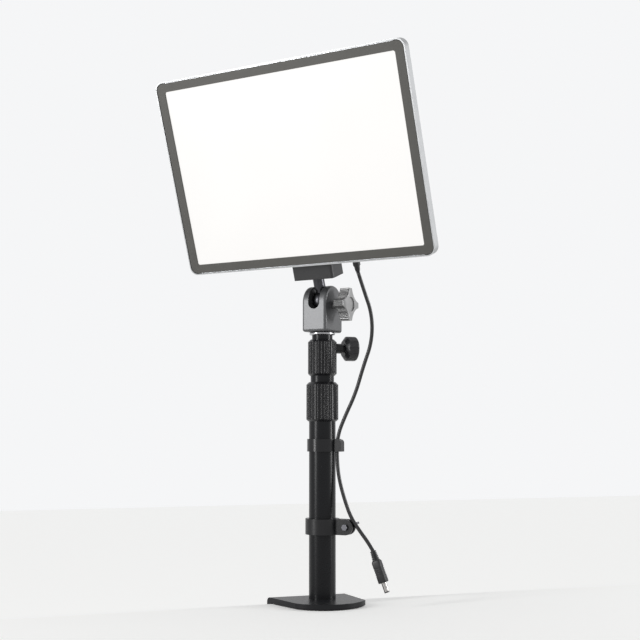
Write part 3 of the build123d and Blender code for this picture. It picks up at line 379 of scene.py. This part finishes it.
def shaded(colour, share):
    return tuple(min(1.0, c * share) for c in colour)


# ---- finishes ----


def satin_anodised(name, colour, rough, metallic=1.0, gloss=0.5, grain=0.000012):
    """Bead-blasted and anodised aluminium: a very fine even grain, slightly cloudy."""
    finish = Finish(name)
    cloud = finish.noise(scale=38.0, detail=3.0)
    finish.feed(
        Base_Color=finish.shades(cloud, colour, dark=0.88, light=1.12),
        Metallic=metallic,
        Roughness=finish.uneven(rough, finish.noise(scale=420.0), swing=0.08, below=0.04),
        Specular_IOR_Level=gloss,
    )
    finish.bump(finish.noise(scale=5200.0, detail=1.0), distance=grain)
    return finish.material


def moulded(name, colour, rough, gloss=0.4, grain=0.00002, scale=2600.0, coat=0.0, edge=0.0):
    """Injection-moulded plastic with a spark-eroded texture."""
    finish = Finish(name)
    cloud = finish.noise(scale=55.0)
    haze = finish.noise(scale=260.0, detail=3.0)
    finish.feed(
        Base_Color=finish.shades(cloud, colour, dark=0.85, light=1.15),
        Roughness=finish.uneven(rough, haze, swing=0.12, below=0.06),
        Specular_IOR_Level=gloss,
        Coat_Weight=coat,
        Coat_Roughness=0.18,
    )
    finish.bump(finish.noise(scale), distance=grain, edge=edge)
    return finish.material


def powder_coat(colour):
    """Textured powder coat on the clamp: small even pimples."""
    finish = Finish("Bracket powder coat")
    speck = finish.cells(scale=2300.0)
    finish.feed(
        Base_Color=finish.shades(finish.noise(scale=60.0), colour, dark=0.86, light=1.14),
        Roughness=finish.uneven(0.32, speck, swing=0.10, below=0.04),
        Specular_IOR_Level=0.16,
    )
    finish.bump(1.0 - speck, distance=0.00003, edge=0.0011)
    return finish.material


def blasted(name, colour, rough, metallic):
    """Cast aluminium, blasted and anodised: bright specks in a satin grey."""
    finish = Finish(name)
    speck = finish.noise(scale=2100.0)
    cloud = finish.noise(scale=45.0, detail=3.0)
    grain = finish.shades(speck.rising(0.56, 0.70), colour, dark=0.90, light=1.45)
    finish.feed(
        Base_Color=finish.mixed(cloud * 0.35, grain, shaded(colour, 0.84)),
        Metallic=metallic,
        Roughness=finish.uneven(rough, speck, swing=0.14, below=0.07),
    )
    finish.bump(speck, distance=0.00003, edge=0.0005)
    return finish.material


def turned_metal(name, colour, rough):
    """Bright metal with fine turning rings round Z."""
    finish = Finish(name)
    rings = finish.lines(pitch=0.0006, wander_scale=300.0, wander=2.0)
    cloud = finish.noise(scale=90.0)
    finish.feed(
        Base_Color=finish.shades(cloud, colour, dark=0.90, light=1.08),
        Metallic=1.0,
        Roughness=rings * 0.04 + finish.uneven(rough, cloud, swing=0.08, below=0.04),
    )
    finish.bump(rings, distance=0.000008)
    return finish.material


def brushed_band(colour):
    """Black anodised band with fine lines round it."""
    finish = Finish("Brushed band")
    lines = finish.lines(pitch=0.0011, wander_scale=60.0, wander=1.5)
    cloud = finish.noise(scale=70.0)
    finish.feed(
        Base_Color=finish.shades(lines * 0.2 + cloud * 0.6, colour, dark=0.7, light=1.7),
        Roughness=lines * 0.04 + finish.uneven(0.34, cloud, swing=0.06, below=0.03),
        Specular_IOR_Level=0.3,
    )
    finish.bump(lines, distance=0.000009, edge=0.0004)
    return finish.material


def ribbed_knob(colour):
    """Satin metal, ribbed round the knob's rim and plain on its end face and in its dish; the rim is painted
    darker as shade on the lobes' sides, and the ribs carry a painted highlight on their crests and painted shade
    in their grooves.
    """
    finish = Finish("Ribbed knob")
    axis, across = HEAD_FRAME.to_3x3() @ Vector((1, 0, 0)), Vector(UP)
    centre = Vector(JOINT["head_knob_turn"]["pos_m"])
    reach = max((v.co - centre).dot(axis) for v in frame["nodes"]["head_knob"].data.vertices)
    sockets = {0: finish.place(), 1: tuple(centre)}
    offset = finish.node("VectorMath", {"operation": "SUBTRACT"}, sockets)
    out, side, over = (
        finish.along(tuple(way), offset) for way in (axis, across, axis.cross(across))
    )
    turn = finish.sum("ARCTAN2", side, over) * float(bpy.context.scene.lamp_detail.knurl_lines)
    behind_face = finish.sum("LESS_THAN", out, reach - KNOB_FACE)
    spread = side * side + over * over
    outside_dish = finish.sum("GREATER_THAN", spread, KNOB_DISH_R * KNOB_DISH_R)
    rim = behind_face * outside_dish
    ribs = finish.sum("SINE", turn) * rim
    cloud = finish.noise(scale=70.0, detail=3.0)
    # Painted shade and highlight: the rim is darker than the end face and dish, and each rib's crest is lighter
    # and its groove darker, over a random cloud of tone.
    cloud_and_painted_light = ribs * 0.25 + rim * (-0.5) + cloud * 0.2 + 0.6
    finish.feed(
        Base_Color=finish.shades(cloud_and_painted_light, colour, dark=0.25, light=1.5),
        Metallic=0.75,
        Roughness=finish.uneven(0.34, cloud, swing=0.12, below=0.06),
    )
    finish.bump(ribs, distance=0.00022, edge=0.0004)
    return finish.material


def rubber(colour):
    """Matt rubber with a pale bloom."""
    finish = Finish("Rubber black")
    bloom = finish.noise(scale=140.0, detail=4.0)
    finish.feed(
        Base_Color=finish.shades(bloom, colour, dark=0.8, light=1.5),
        Roughness=finish.uneven(0.75, bloom, swing=0.15, below=0.08),
        Specular_IOR_Level=0.3,
    )
    finish.bump(finish.noise(scale=1900.0), distance=0.00004)
    return finish.material


def lit_diffuser(colour):
    """Opal sheet with the light guide's even glow behind it."""
    colours = bpy.context.scene.lamp_finish
    glow = tuple(colours.glow)
    finish = Finish("Lit diffuser")
    patch = finish.noise(scale=9.0, detail=1.0)
    finish.feed(
        Base_Color=finish.shades(patch, colour, dark=0.06, light=0.08),
        Roughness=0.45,
        Emission_Color=finish.shades(patch, glow, dark=0.97, light=1.0),
        Emission_Strength=colours.glow_strength,
    )
    finish.bump(finish.noise(scale=2400.0), distance=0.00002)
    return finish.material


def clear_sheet(colour):
    """Acrylic light guide with its printed dot grid."""
    finish = Finish("Light guide acrylic")
    dots = finish.cells(scale=420.0, randomness=0.0)
    mark = finish.sum("LESS_THAN", dots, 0.28)
    finish.feed(
        Base_Color=finish.mixed(mark, colour, (0.98, 0.98, 0.98)),
        Roughness=mark * 0.5 + 0.06,
        Alpha=mark * 0.5 + 0.45,
    )
    return finish.material


def circuit_board(colour):
    """Solder mask over copper tracks."""
    finish = Finish("Circuit board")
    black, white = (0, 0, 0, 1), (1, 1, 1, 1)
    sockets = {
        "Vector": finish.place(),
        "Scale": 260.0,
        "Mortar Size": 0.03,
        "Color1": black,
        "Color2": black,
        "Mortar": white,
    }
    tracks = finish.node("TexBrick", {"offset": 0.5}, sockets, output="Fac")
    finish.feed(
        Base_Color=finish.shades(tracks, colour, dark=1.0, light=1.9),
        Roughness=tracks * 0.1 + 0.28,
        Coat_Weight=0.4,
    )
    finish.bump(tracks, distance=0.00003)
    return finish.material


def ground_finish(name, colour, lift):
    """Floor and table: plain and pale to the eye and to mirrors, and they keep the shadows."""
    finish = Finish(name)
    finish.feed(
        Base_Color=colour,
        Roughness=0.9,
        Specular_IOR_Level=0.1,
        Emission_Color=colour,
        Emission_Strength=finish.seen() * lift,
    )
    return finish.material


# ---- finish of each slot ----


def finish_for(slot):
    """Finish of a slot, made when a piece first needs it."""
    if slot not in MADE:
        colours = bpy.context.scene.lamp_finish
        colour = tuple(getattr(colours, slot)) if hasattr(colours, slot) else SLOT_COLOUR[slot]
        MADE[slot] = MAKERS[slot](colour)
    return MADE[slot]


MADE = {}
MAKERS = {
    "shell_silver": lambda c: satin_anodised("Silver anodised", c, rough=0.42),
    "bezel_black": lambda c: satin_anodised("Bezel grey", c, rough=0.52, metallic=0.2, gloss=0.3),
    "diffuser_white": lit_diffuser,
    "guide_clear": clear_sheet,
    "reflector_white": lambda c: moulded("Reflector film", c, rough=0.4),
    "led_cream": lambda c: moulded("LED phosphor", c, rough=0.3, coat=0.4),
    "led_board_white": lambda c: moulded("LED board mask", c, rough=0.35),
    "bare_aluminium": lambda c: turned_metal("Bare aluminium", c, rough=0.35),
    "housing_black": lambda c: moulded(
        "Housing black", c, rough=0.52, gloss=0.35, grain=0.00005, scale=1900.0, edge=0.0005
    ),
    "steel_black": lambda c: turned_metal("Black oxide steel", c, rough=0.40),
    "steel_bright": lambda c: turned_metal("Zinc-plated steel", c, rough=0.26),
    "brass_plain": lambda c: turned_metal("Turned brass", c, rough=0.28),
    "board_green": circuit_board,
    "component_black": lambda c: moulded("Component black", c, rough=0.42),
    "button_grey": lambda c: moulded("Button grey", c, rough=0.45, edge=0.0003),
    "head_grey": lambda c: blasted("Head satin grey", c, rough=0.40, metallic=0.55),
    "head_knob_grey": ribbed_knob,
    # The block's darker colour is painted shade from under the panel.
    "block_graphite": lambda c: blasted("Block satin graphite", c, rough=0.46, metallic=0.85),
    "ring_polished": lambda c: turned_metal("Polished ring", c, rough=0.22),
    "ball_black": lambda c: satin_anodised(
        "Ball dark gloss", shaded(c, 1.6), rough=0.30, metallic=0.9, grain=0.000003
    ),
    "acetal_white": lambda c: moulded("Acetal", c, rough=0.45),
    "pole_black": lambda c: satin_anodised(
        "Pole black anodised", c, rough=0.28, metallic=0.0, gloss=0.17
    ),
    "collar_black": lambda c: moulded("Collar black", c, rough=0.25, gloss=0.28, grain=0.000003),
    "knob_black": lambda c: moulded("Knob black", c, rough=0.38, gloss=0.3, edge=0.0003),
    "bracket_black": powder_coat,
    "rubber_black": rubber,
    "cord_black": lambda c: moulded(
        "Cord jacket", c, rough=0.27, gloss=0.35, grain=0.00001, scale=1200.0
    ),
    "plug_black": lambda c: moulded("Plug moulding", c, rough=0.36, gloss=0.3, edge=0.0003),
    "barrel_silver": lambda c: turned_metal("Nickel barrel", shaded(c, 0.5), rough=0.28),
}


def dress(*nodes, finish=None):
    """Gives CAD nodes the finish of their slots, or one that is named."""
    for node in nodes:
        piece = frame["nodes"][node]
        material = finish or finish_for(NODE_SLOT[node])
        if not piece.material_slots:
            piece.data.materials.append(material)
        for place in piece.material_slots:
            place.material = material


# ---- meshes ----


def linked(name, data, material):
    """Puts a mesh or a curve in the scene, in one material."""
    piece = bpy.data.objects.new(name, data)
    bpy.context.scene.collection.objects.link(piece)
    data.materials.append(material)
    return piece


def mesh_of(name, points, faces, smooth=True):
    """Mesh from points and the faces between them."""
    mesh = bpy.data.meshes.new(name)
    mesh.from_pydata([tuple(p) for p in points], [], faces)
    mesh.validate()
    for face in mesh.polygons:
        face.use_smooth = smooth
    mesh.update()
    return mesh


def ring_faces(rows, sides, ends=(True, True)):
    """Faces over rows of points that stand in rings, closed at the ends that are asked for."""
    faces = []
    for i in range(rows - 1):
        for k in range(sides):
            a, b = i * sides + k, i * sides + (k + 1) % sides
            faces.append((a, b, b + sides, a + sides))
    if ends[0]:
        faces.append(tuple(range(sides))[::-1])
    if ends[1]:
        last = (rows - 1) * sides
        faces.append(tuple(range(last, last + sides)))
    return faces


def route_curve(name, points, steps):
    """Curve whose one smooth spline a route's points control."""
    curve = bpy.data.curves.new(name, "CURVE")
    curve.dimensions = "3D"
    spline = curve.splines.new("NURBS")
    spline.points.add(len(points) - 1)
    for made, place in zip(spline.points, points):
        made.co = (*place, 1.0)
    spline.order_u = 3
    spline.use_endpoint_u = True
    spline.resolution_u = steps
    return curve


def route_line(points, steps):
    """Points read from a route's smooth line."""
    curve = route_curve("route", points, steps)
    carrier = bpy.data.objects.new("route", curve)
    bpy.context.scene.collection.objects.link(carrier)
    bpy.context.view_layer.update()
    mesh = bpy.data.meshes.new_from_object(carrier)
    line = [v.co.copy() for v in mesh.vertices]
    bpy.data.meshes.remove(mesh)
    bpy.data.objects.remove(carrier)
    bpy.data.curves.remove(curve)
    return line


def line_length(line):
    """Length in metres, to a tenth of a millimetre."""
    return round(sum((q - p).length for p, q in zip(line, line[1:])), 4)


def line_frames(line):
    """Two cross directions at each point of a line, carried along without twist."""
    ways = []
    for i in range(len(line)):
        before, after = line[max(i - 1, 0)], line[min(i + 1, len(line) - 1)]
        ways.append((after - before).normalized())
    side = ways[0].orthogonal().normalized()
    frames = []
    for way in ways:
        side = (side - way * side.dot(way)).normalized()
        frames.append((side, way.cross(side)))
    return frames


def tube_along(name, line, frames, radius, sides, ends):
    """Round tube on a line, closed at the ends that are asked for."""
    points = []
    for place, (side, up) in zip(line, frames):
        for k in range(sides):
            turn = math.tau * k / sides
            points.append(
                place + side * (radius * math.cos(turn)) + up * (radius * math.sin(turn))
            )
    return mesh_of(name, points, ring_faces(len(line), sides, ends))


def placed(name, mesh, place, slot, body, node):
    """Puts a fine piece where its frame is, on a body, in a slot's finish and a node's place."""
    mesh.transform(place)
    piece = linked(name, mesh, finish_for(slot))
    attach(piece, body)
    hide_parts(node)
    return piece


def lofted(name, rings, sides=36):
    """Rings along Z: (height, half width, half depth, squareness), 2 is round, 0 a hexagon."""
    points = []
    for z, wide, deep, square in rings:
        for k in range(sides):
            turn = math.tau * k / sides
            c, d = math.cos(turn), math.sin(turn)
            if square:
                r = (abs(c / wide) ** square + abs(d / deep) ** square) ** (-1.0 / square)
            else:
                r = wide / math.cos((turn + math.pi / 6) % (math.pi / 3) - math.pi / 6)
            points.append((r * c, r * d, z))
    mesh = mesh_of(name, points, ring_faces(len(rings), sides))
    mesh.set_sharp_from_angle(angle=CRISP)
    return mesh


def round_rings(*pairs):
    """Rings of a turned shape from (height, radius)."""
    return [(z, r, r, 2.0) for z, r in pairs]


def squared_rings(*rows, start=0.0):
    """Rings of the loose plug from (distance, share of its width, squareness)."""
    return [
        (start + z, LOOSE_WIDE * share, LOOSE_DEEP * share, square) for z, share, square in rows
    ]


def islands(node):
    """Corner lists of a node's patches of joined faces, in the order of its mesh."""
    mesh = bmesh.new()
    mesh.from_mesh(frame["nodes"][node].data)
    met, found = set(), []
    for first in mesh.verts:
        if first in met:
            continue
        met.add(first)
        group, edge = [], [first]
        while edge:
            vert = edge.pop()
            group.append(vert.co.copy())
            for other in (e.other_vert(vert) for e in vert.link_edges):
                if other not in met:
                    met.add(other)
                    edge.append(other)
        found.append(group)
    mesh.free()
    return found


def lower_route():
    """Control points of the cord between the clip and the loose plug."""
    return [CABLE_FRAME @ Vector((r, 0.0, z)) for r, z in LOWER_ROUTE]


def facing(origin, way):
    """Frame at a point with its Z along a direction."""
    return Matrix.Translation(origin) @ way.to_track_quat("Z", "Y").to_matrix().to_4x4()


def socket_screw(name, points, way):
    """Cap screw with a hexagon socket, in the place of a patch of the housing's screws."""
    reach = [p.dot(way) for p in points]
    low, high = min(reach), max(reach)
    middle = sum(points, Vector()) / len(points)
    top = middle + way * (high - middle.dot(way))
    across = bpy.context.scene.lamp_detail.hex_across / 2
    length = high - low
    rings = round_rings(
        (-length, SHANK_R * TIP_SHARE),
        (-length + TIP_TAPER, SHANK_R),
        (-SCREW_HEAD_HIGH, SHANK_R),
        (-SCREW_HEAD_HIGH, SCREW_HEAD_R - SCREW_HEAD_BREAK),
        (-SCREW_HEAD_HIGH + SCREW_HEAD_BREAK, SCREW_HEAD_R),
        (-SCREW_HEAD_ROUND, SCREW_HEAD_R),
        (0.0, SCREW_HEAD_R - SCREW_HEAD_ROUND),
    )
    rings += [
        (0.0, across * SOCKET_CHAMFER_SHARE, across, 0),
        (-SOCKET_CHAMFER, across, across, 0),
        (-SCREW_HEAD_HIGH * SOCKET_DEPTH_SHARE, across, across, 0),
    ]
    screw = lofted(name, rings)
    return placed(name, screw, facing(top, way), "steel_black", "panel", "housing_screws")


def threaded_rod(name, radius, length, pitch, depth):
    """Rod along Z with a real helix: plain at its lower end and pointed at its tip."""
    points = []
    rows = int(length / pitch * ROD_RINGS_IN_TURN)
    for i in range(rows + 1):
        z = length * i / rows
        tip = max(0.0, 1.0 - (length - z) / ROD_POINT) * depth
        fade = min(1.0, max(0.0, (z - ROD_PLAIN) / pitch))
        for k in range(ROD_SIDES):
            phase = (z / pitch - k / ROD_SIDES) % 1.0
            groove = depth * min(1.0, abs(2.0 * phase - 1.0) * ROD_STEEPNESS) * fade
            r = radius - max(groove, tip)
            turn = math.tau * k / ROD_SIDES
            points.append((r * math.cos(turn), r * math.sin(turn), z))
    mesh = mesh_of(name, points, ring_faces(rows + 1, ROD_SIDES))
    mesh.set_sharp_from_angle(angle=THREAD_CRISP)
    return mesh


def ribbed_relief(tip, root, length, ribs):
    """Rings of a tapered strain relief with grooves between its ribs."""
    mouth, groove, rib = 0.72, 0.78, 1.0
    pairs = [(0.0, tip * mouth)]
    for k in range(ribs):
        for share, thickness in ((0.0, groove), (0.22, groove), (0.30, rib), (0.90, rib)):
            t = (k + share) / ribs
            pairs.append((length * t, (tip + (root - tip) * t) * thickness))
    return round_rings(*pairs)


# ---- stage ----


def place_camera(stage):
    """Camera that looks a little up at the lamp, with the pole near the middle."""
    toward = Vector((math.sin(stage.azimuth), -math.cos(stage.azimuth), 0.0))
    right = Vector((math.cos(stage.azimuth), math.sin(stage.azimuth), 0.0))
    lens = bpy.data.cameras.new("Camera")
    lens.lens = stage.lens
    lens.sensor_width = stage.sensor
    camera = bpy.data.objects.new("Camera", lens)
    camera.location = toward * stage.distance - right * stage.offset
    camera.location.z = stage.height
    camera.rotation_euler = (math.pi / 2 + stage.pitch, 0.0, stage.azimuth)
    bpy.context.scene.collection.objects.link(camera)
    bpy.context.scene.camera = camera


def place_ground(stage):
    """Table top and floor, which aren't part of the lamp."""
    half = stage.table_width / 2
    front, back = stage.table_back - stage.table_depth, stage.table_back
    heights = (-stage.table_thick, 0.0)
    corners = [(x, y, z) for z in heights for y in (front, back) for x in (-half, half)]
    faces = [(0, 2, 3, 1), (4, 5, 7, 6), (0, 1, 5, 4), (2, 6, 7, 3), (0, 4, 6, 2), (1, 3, 7, 5)]
    plain_table = ground_finish("Plain table", tuple(stage.ground), stage.table_lift)
    table = linked("Table top", mesh_of("Table top", corners, faces, smooth=False), plain_table)
    far = stage.floor_reach
    corners = [(-far, -far, 0), (far, -far, 0), (far, far, 0), (-far, far, 0)]
    plain_floor = ground_finish("Plain floor", tuple(stage.ground), stage.floor_lift)
    sheet = mesh_of("Floor", corners, [(0, 1, 2, 3)], smooth=False)
    floor = linked("Floor", sheet, plain_floor)
    floor.location.z = -stage.floor_drop


def place_lamp(stage, name, turn, power):
    """Tall soft lamp that stands upright and looks at the pole."""
    lamp = bpy.data.lights.new(name, "AREA")
    lamp.shape = "RECTANGLE"
    lamp.size, lamp.size_y = stage.lamp_width, stage.lamp_height
    lamp.energy = power
    light = bpy.data.objects.new(name, lamp)
    way = stage.azimuth + turn
    light.location = Vector((math.sin(way), -math.cos(way), 0.0)) * stage.lamp_distance
    light.location.z = stage.lamp_rise
    light.rotation_euler = (math.pi / 2, 0.0, way)
    bpy.context.scene.collection.objects.link(light)


def light_room(stage):
    """Level light from all round, in front of a backdrop that is pale to the eye."""
    world = bpy.data.worlds.new("Room")
    world.use_nodes = True
    nodes = Nodes(world.node_tree)
    levels = {"Value": nodes.seen(), "To Min": stage.room, "To Max": stage.backdrop}
    strength = nodes.node("MapRange", {}, levels)
    background = world.node_tree.nodes["Background"]
    world.node_tree.links.new(strength.socket, background.inputs["Strength"])
    background.inputs["Color"].default_value = (*stage.room_tint, 1.0)
    bpy.context.scene.world = world


# ---- steps ----


class LAMP_OT_stage(Operator):
    """Camera, table, floor and lights"""

    bl_idname = "panel_lamp.stage"
    bl_label = "Stage"

    def execute(self, context):
        stage = context.scene.lamp_stage
        place_camera(stage)
        place_ground(stage)
        place_lamp(stage, "Key", stage.key_turn, stage.key)
        place_lamp(stage, "Rim", stage.rim_turn, stage.rim)
        light_room(stage)
        context.scene.view_settings.view_transform = "Standard"
        return {"FINISHED"}


class LAMP_OT_light(Operator):
    """Tray, bezel, diffuser and the light source behind it"""

    bl_idname = "panel_lamp.light"
    bl_label = "Light panel"

    def execute(self, context):
        dress("tray", "front_bezel", "diffuser", "light_guide", "reflector")
        dress("leds", "led_boards", "heat_bars")
        return {"FINISHED"}


class LAMP_OT_housing(Operator):
    """Rear housing, its screws and what it holds"""

    bl_idname = "panel_lamp.housing"
    bl_label = "Rear housing"

    def execute(self, context):
        dress("rear_housing", "housing_screws", "power_button", "switch_plunger", "tact_switch")
        dress("control_board", "driver_board", "driver_components", "board_screws")
        dress("radio_module", "dc_jack")
        back = PANEL_FRAME.to_3x3() @ Vector((0, 1, 0))
        # Each of the four screws is five patches, because its faces' edges aren't joined.
        for k, points in enumerate(islands("housing_screws")):
            socket_screw(f"housing_screw_{k + 1}", points, back)
        return {"FINISHED"}


class LAMP_OT_mount(Operator):
    """Block under the panel, and the ball on its stem"""

    bl_idname = "panel_lamp.mount"
    bl_label = "Block and ball"

    def execute(self, context):
        dress("mount_block", "block_screws", "thread_insert", "ball_stem")
        return {"FINISHED"}


class LAMP_OT_head(Operator):
    """Ball head with its locking knob and the bright ring under it"""

    bl_idname = "panel_lamp.head"
    bl_label = "Ball head"

    def execute(self, context):
        dress("head_body", "head_base_ring", "brake_shoe", "head_knob", "head_knob_screw")
        dress("ball_seat", finish=finish_for("knob_black"))
        return {"FINISHED"}


class LAMP_OT_pole(Operator):
    """Three tubes, their guides and collets, and the lock collars"""

    bl_idname = "panel_lamp.pole"
    bl_label = "Telescopic pole"

    def execute(self, context):
        dress("main_tube", "mid_tube", "top_tube", "top_plug", "mid_guide", "top_guide")
        dress("lower_collet", "upper_collet", "lower_lock_collar", "upper_lock_collar")
        dress("thumb_screw", "thumb_knob")
        return {"FINISHED"}


class LAMP_OT_guides(Operator):
    """Cable clip, and the split collar with its bolt and wing nut"""

    bl_idname = "panel_lamp.guides"
    bl_label = "Cable guides"

    def execute(self, context):
        band = brushed_band(tuple(context.scene.lamp_finish.collar_black))
        dress("upper_cable_clip", "collar_bolt", "wing_nut")
        dress("cable_collar", finish=band)
        return {"FINISHED"}


class LAMP_OT_clamp(Operator):
    """Desk clamp with its pads and its threaded screw"""

    bl_idname = "panel_lamp.clamp"
    bl_label = "Desk clamp"

    def execute(self, context):
        detail = context.scene.lamp_detail
        dress("clamp_bracket", "top_pad", "base_plug", "base_bolt", "jaw_nut", "clamp_screw")
        dress("screw_knob", "swivel_pad", "pad_rubber")
        low, high = (Vector(corner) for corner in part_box("clamp_screw"))
        name, radius, length = "clamp_screw_thread", (high.x - low.x) / 2, high.z - low.z
        rod = threaded_rod(name, radius, length, detail.thread_pitch, detail.thread_depth)
        foot = Vector(((low.x + high.x) / 2, (low.y + high.y) / 2, low.z))
        placed(name, rod, Matrix.Translation(foot), "steel_bright", "jaw_screw", "clamp_screw")
        return {"FINISHED"}


class LAMP_OT_plugs(Operator):
    """Plug in the panel's jack and the loose plug, with their ribbed strain reliefs"""

    bl_idname = "panel_lamp.plugs"
    bl_label = "Plugs"

    def execute(self, context):
        dress("dc_plug", "loose_plug", "loose_barrel", "loose_tip")

        up = PANEL_FRAME.to_3x3() @ Vector(UP)
        name, rings = "panel_plug", ribbed_relief(**PANEL_RELIEF) + round_rings(*PANEL_PLUG)
        place = facing(Vector(CORD_EXIT), up)
        placed(name, lofted(name, rings), place, "plug_black", "panel", "dc_plug")

        turn = CABLE_FRAME.to_3x3()
        down = turn @ Vector((math.sin(PLUG_LEAN), 0.0, -math.cos(PLUG_LEAN)))
        across = turn @ Vector((0, 1, 0))
        axes = Matrix((across, down.cross(across), down)).transposed().to_4x4()
        start = Matrix.Translation(lower_route()[-1])
        rings = ribbed_relief(**LOOSE_RELIEF, ribs=context.scene.lamp_cord.ribs)
        rings += squared_rings(*LOOSE_SHOULDER)
        for low in LOOSE_GROOVES:
            rings += squared_rings(*LOOSE_GROOVE, start=low)
        rings += squared_rings(*LOOSE_END) + round_rings(LOOSE_MOUTH)
        name = "loose_plug_body"
        body = lofted(name, rings, sides=48)
        placed(name, body, start @ axes, "plug_black", "stand", "loose_plug")
        return {"FINISHED"}


class LAMP_OT_cords(Operator):
    """Cord from the panel to the clip, and from the clip to the loose plug"""

    bl_idname = "panel_lamp.cords"
    bl_label = "Cords"

    def execute(self, context):
        cord = context.scene.lamp_cord
        self.upper(cord)
        self.lower(cord)
        return {"FINISHED"}

    def upper(self, cord):
        """Cuts the upper cord at the pole's stages."""
        line = route_line(UPPER_ROUTE[::-1], cord.steps)
        frames = line_frames(line)
        start = 0
        for k, (low, high, top) in enumerate(CORD_CUTS):
            first, last = k == 0, k == len(CORD_CUTS) - 1
            end = next((i for i, p in enumerate(line) if p.z > top), len(line) - 1)
            run, run_frames = line[start : end + 1], frames[start : end + 1]
            name, radius = f"upper_cord_{k + 1}", cord.diameter / 2
            mesh = tube_along(name, run, run_frames, radius, cord.sides, (first, last))
            piece = linked(name, mesh, finish_for("cord_black"))
            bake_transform(piece)
            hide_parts("cord_upper")
            line_length(run)
            start = end

    def lower(self, cord):
        """Hangs the cord's free end from the clip."""
        points = lower_route()
        curve = route_curve("lower_cord", points, cord.steps)
        curve.bevel_depth = cord.diameter / 2
        curve.bevel_resolution = 4
        curve.use_fill_caps = True
        piece = linked("lower_cord", curve, finish_for("cord_black"))
        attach(piece, "stand")
        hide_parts("cord_lower")
        plug = [bpy.data.objects["loose_plug_body"]]
        plug += [frame["nodes"][node] for node in ("loose_barrel", "loose_tip")]
        line_length(route_line(points, cord.steps))


class LAMP_PT_panel(Panel):
    """Steps that dress the lamp"""

    bl_idname = "LAMP_PT_panel"
    bl_label = "Panel Lamp"
    bl_space_type = "VIEW_3D"
    bl_region_type = "UI"
    bl_category = "Panel Lamp"

    def draw(self, context):
        for step in STEPS:
            self.layout.operator(step.bl_idname)


STEPS = (
    LAMP_OT_stage,
    LAMP_OT_light,
    LAMP_OT_housing,
    LAMP_OT_mount,
    LAMP_OT_head,
    LAMP_OT_pole,
    LAMP_OT_guides,
    LAMP_OT_clamp,
    LAMP_OT_plugs,
    LAMP_OT_cords,
)
CLASSES = (LampStage, LampFinish, LampDetail, LampCord, *STEPS, LAMP_PT_panel)


def register():
    for made in CLASSES:
        bpy.utils.register_class(made)
    bpy.types.Scene.lamp_stage = PointerProperty(type=LampStage)
    bpy.types.Scene.lamp_finish = PointerProperty(type=LampFinish)
    bpy.types.Scene.lamp_detail = PointerProperty(type=LampDetail)
    bpy.types.Scene.lamp_cord = PointerProperty(type=LampCord)


def unregister():
    del bpy.types.Scene.lamp_stage
    del bpy.types.Scene.lamp_finish
    del bpy.types.Scene.lamp_detail
    del bpy.types.Scene.lamp_cord
    for made in reversed(CLASSES):
        bpy.utils.unregister_class(made)


def main():
    register()
    for step in STEPS:
        group, name = step.bl_idname.split(".")
        getattr(getattr(bpy.ops, group), name)()


if __name__ == "__main__":
    main()
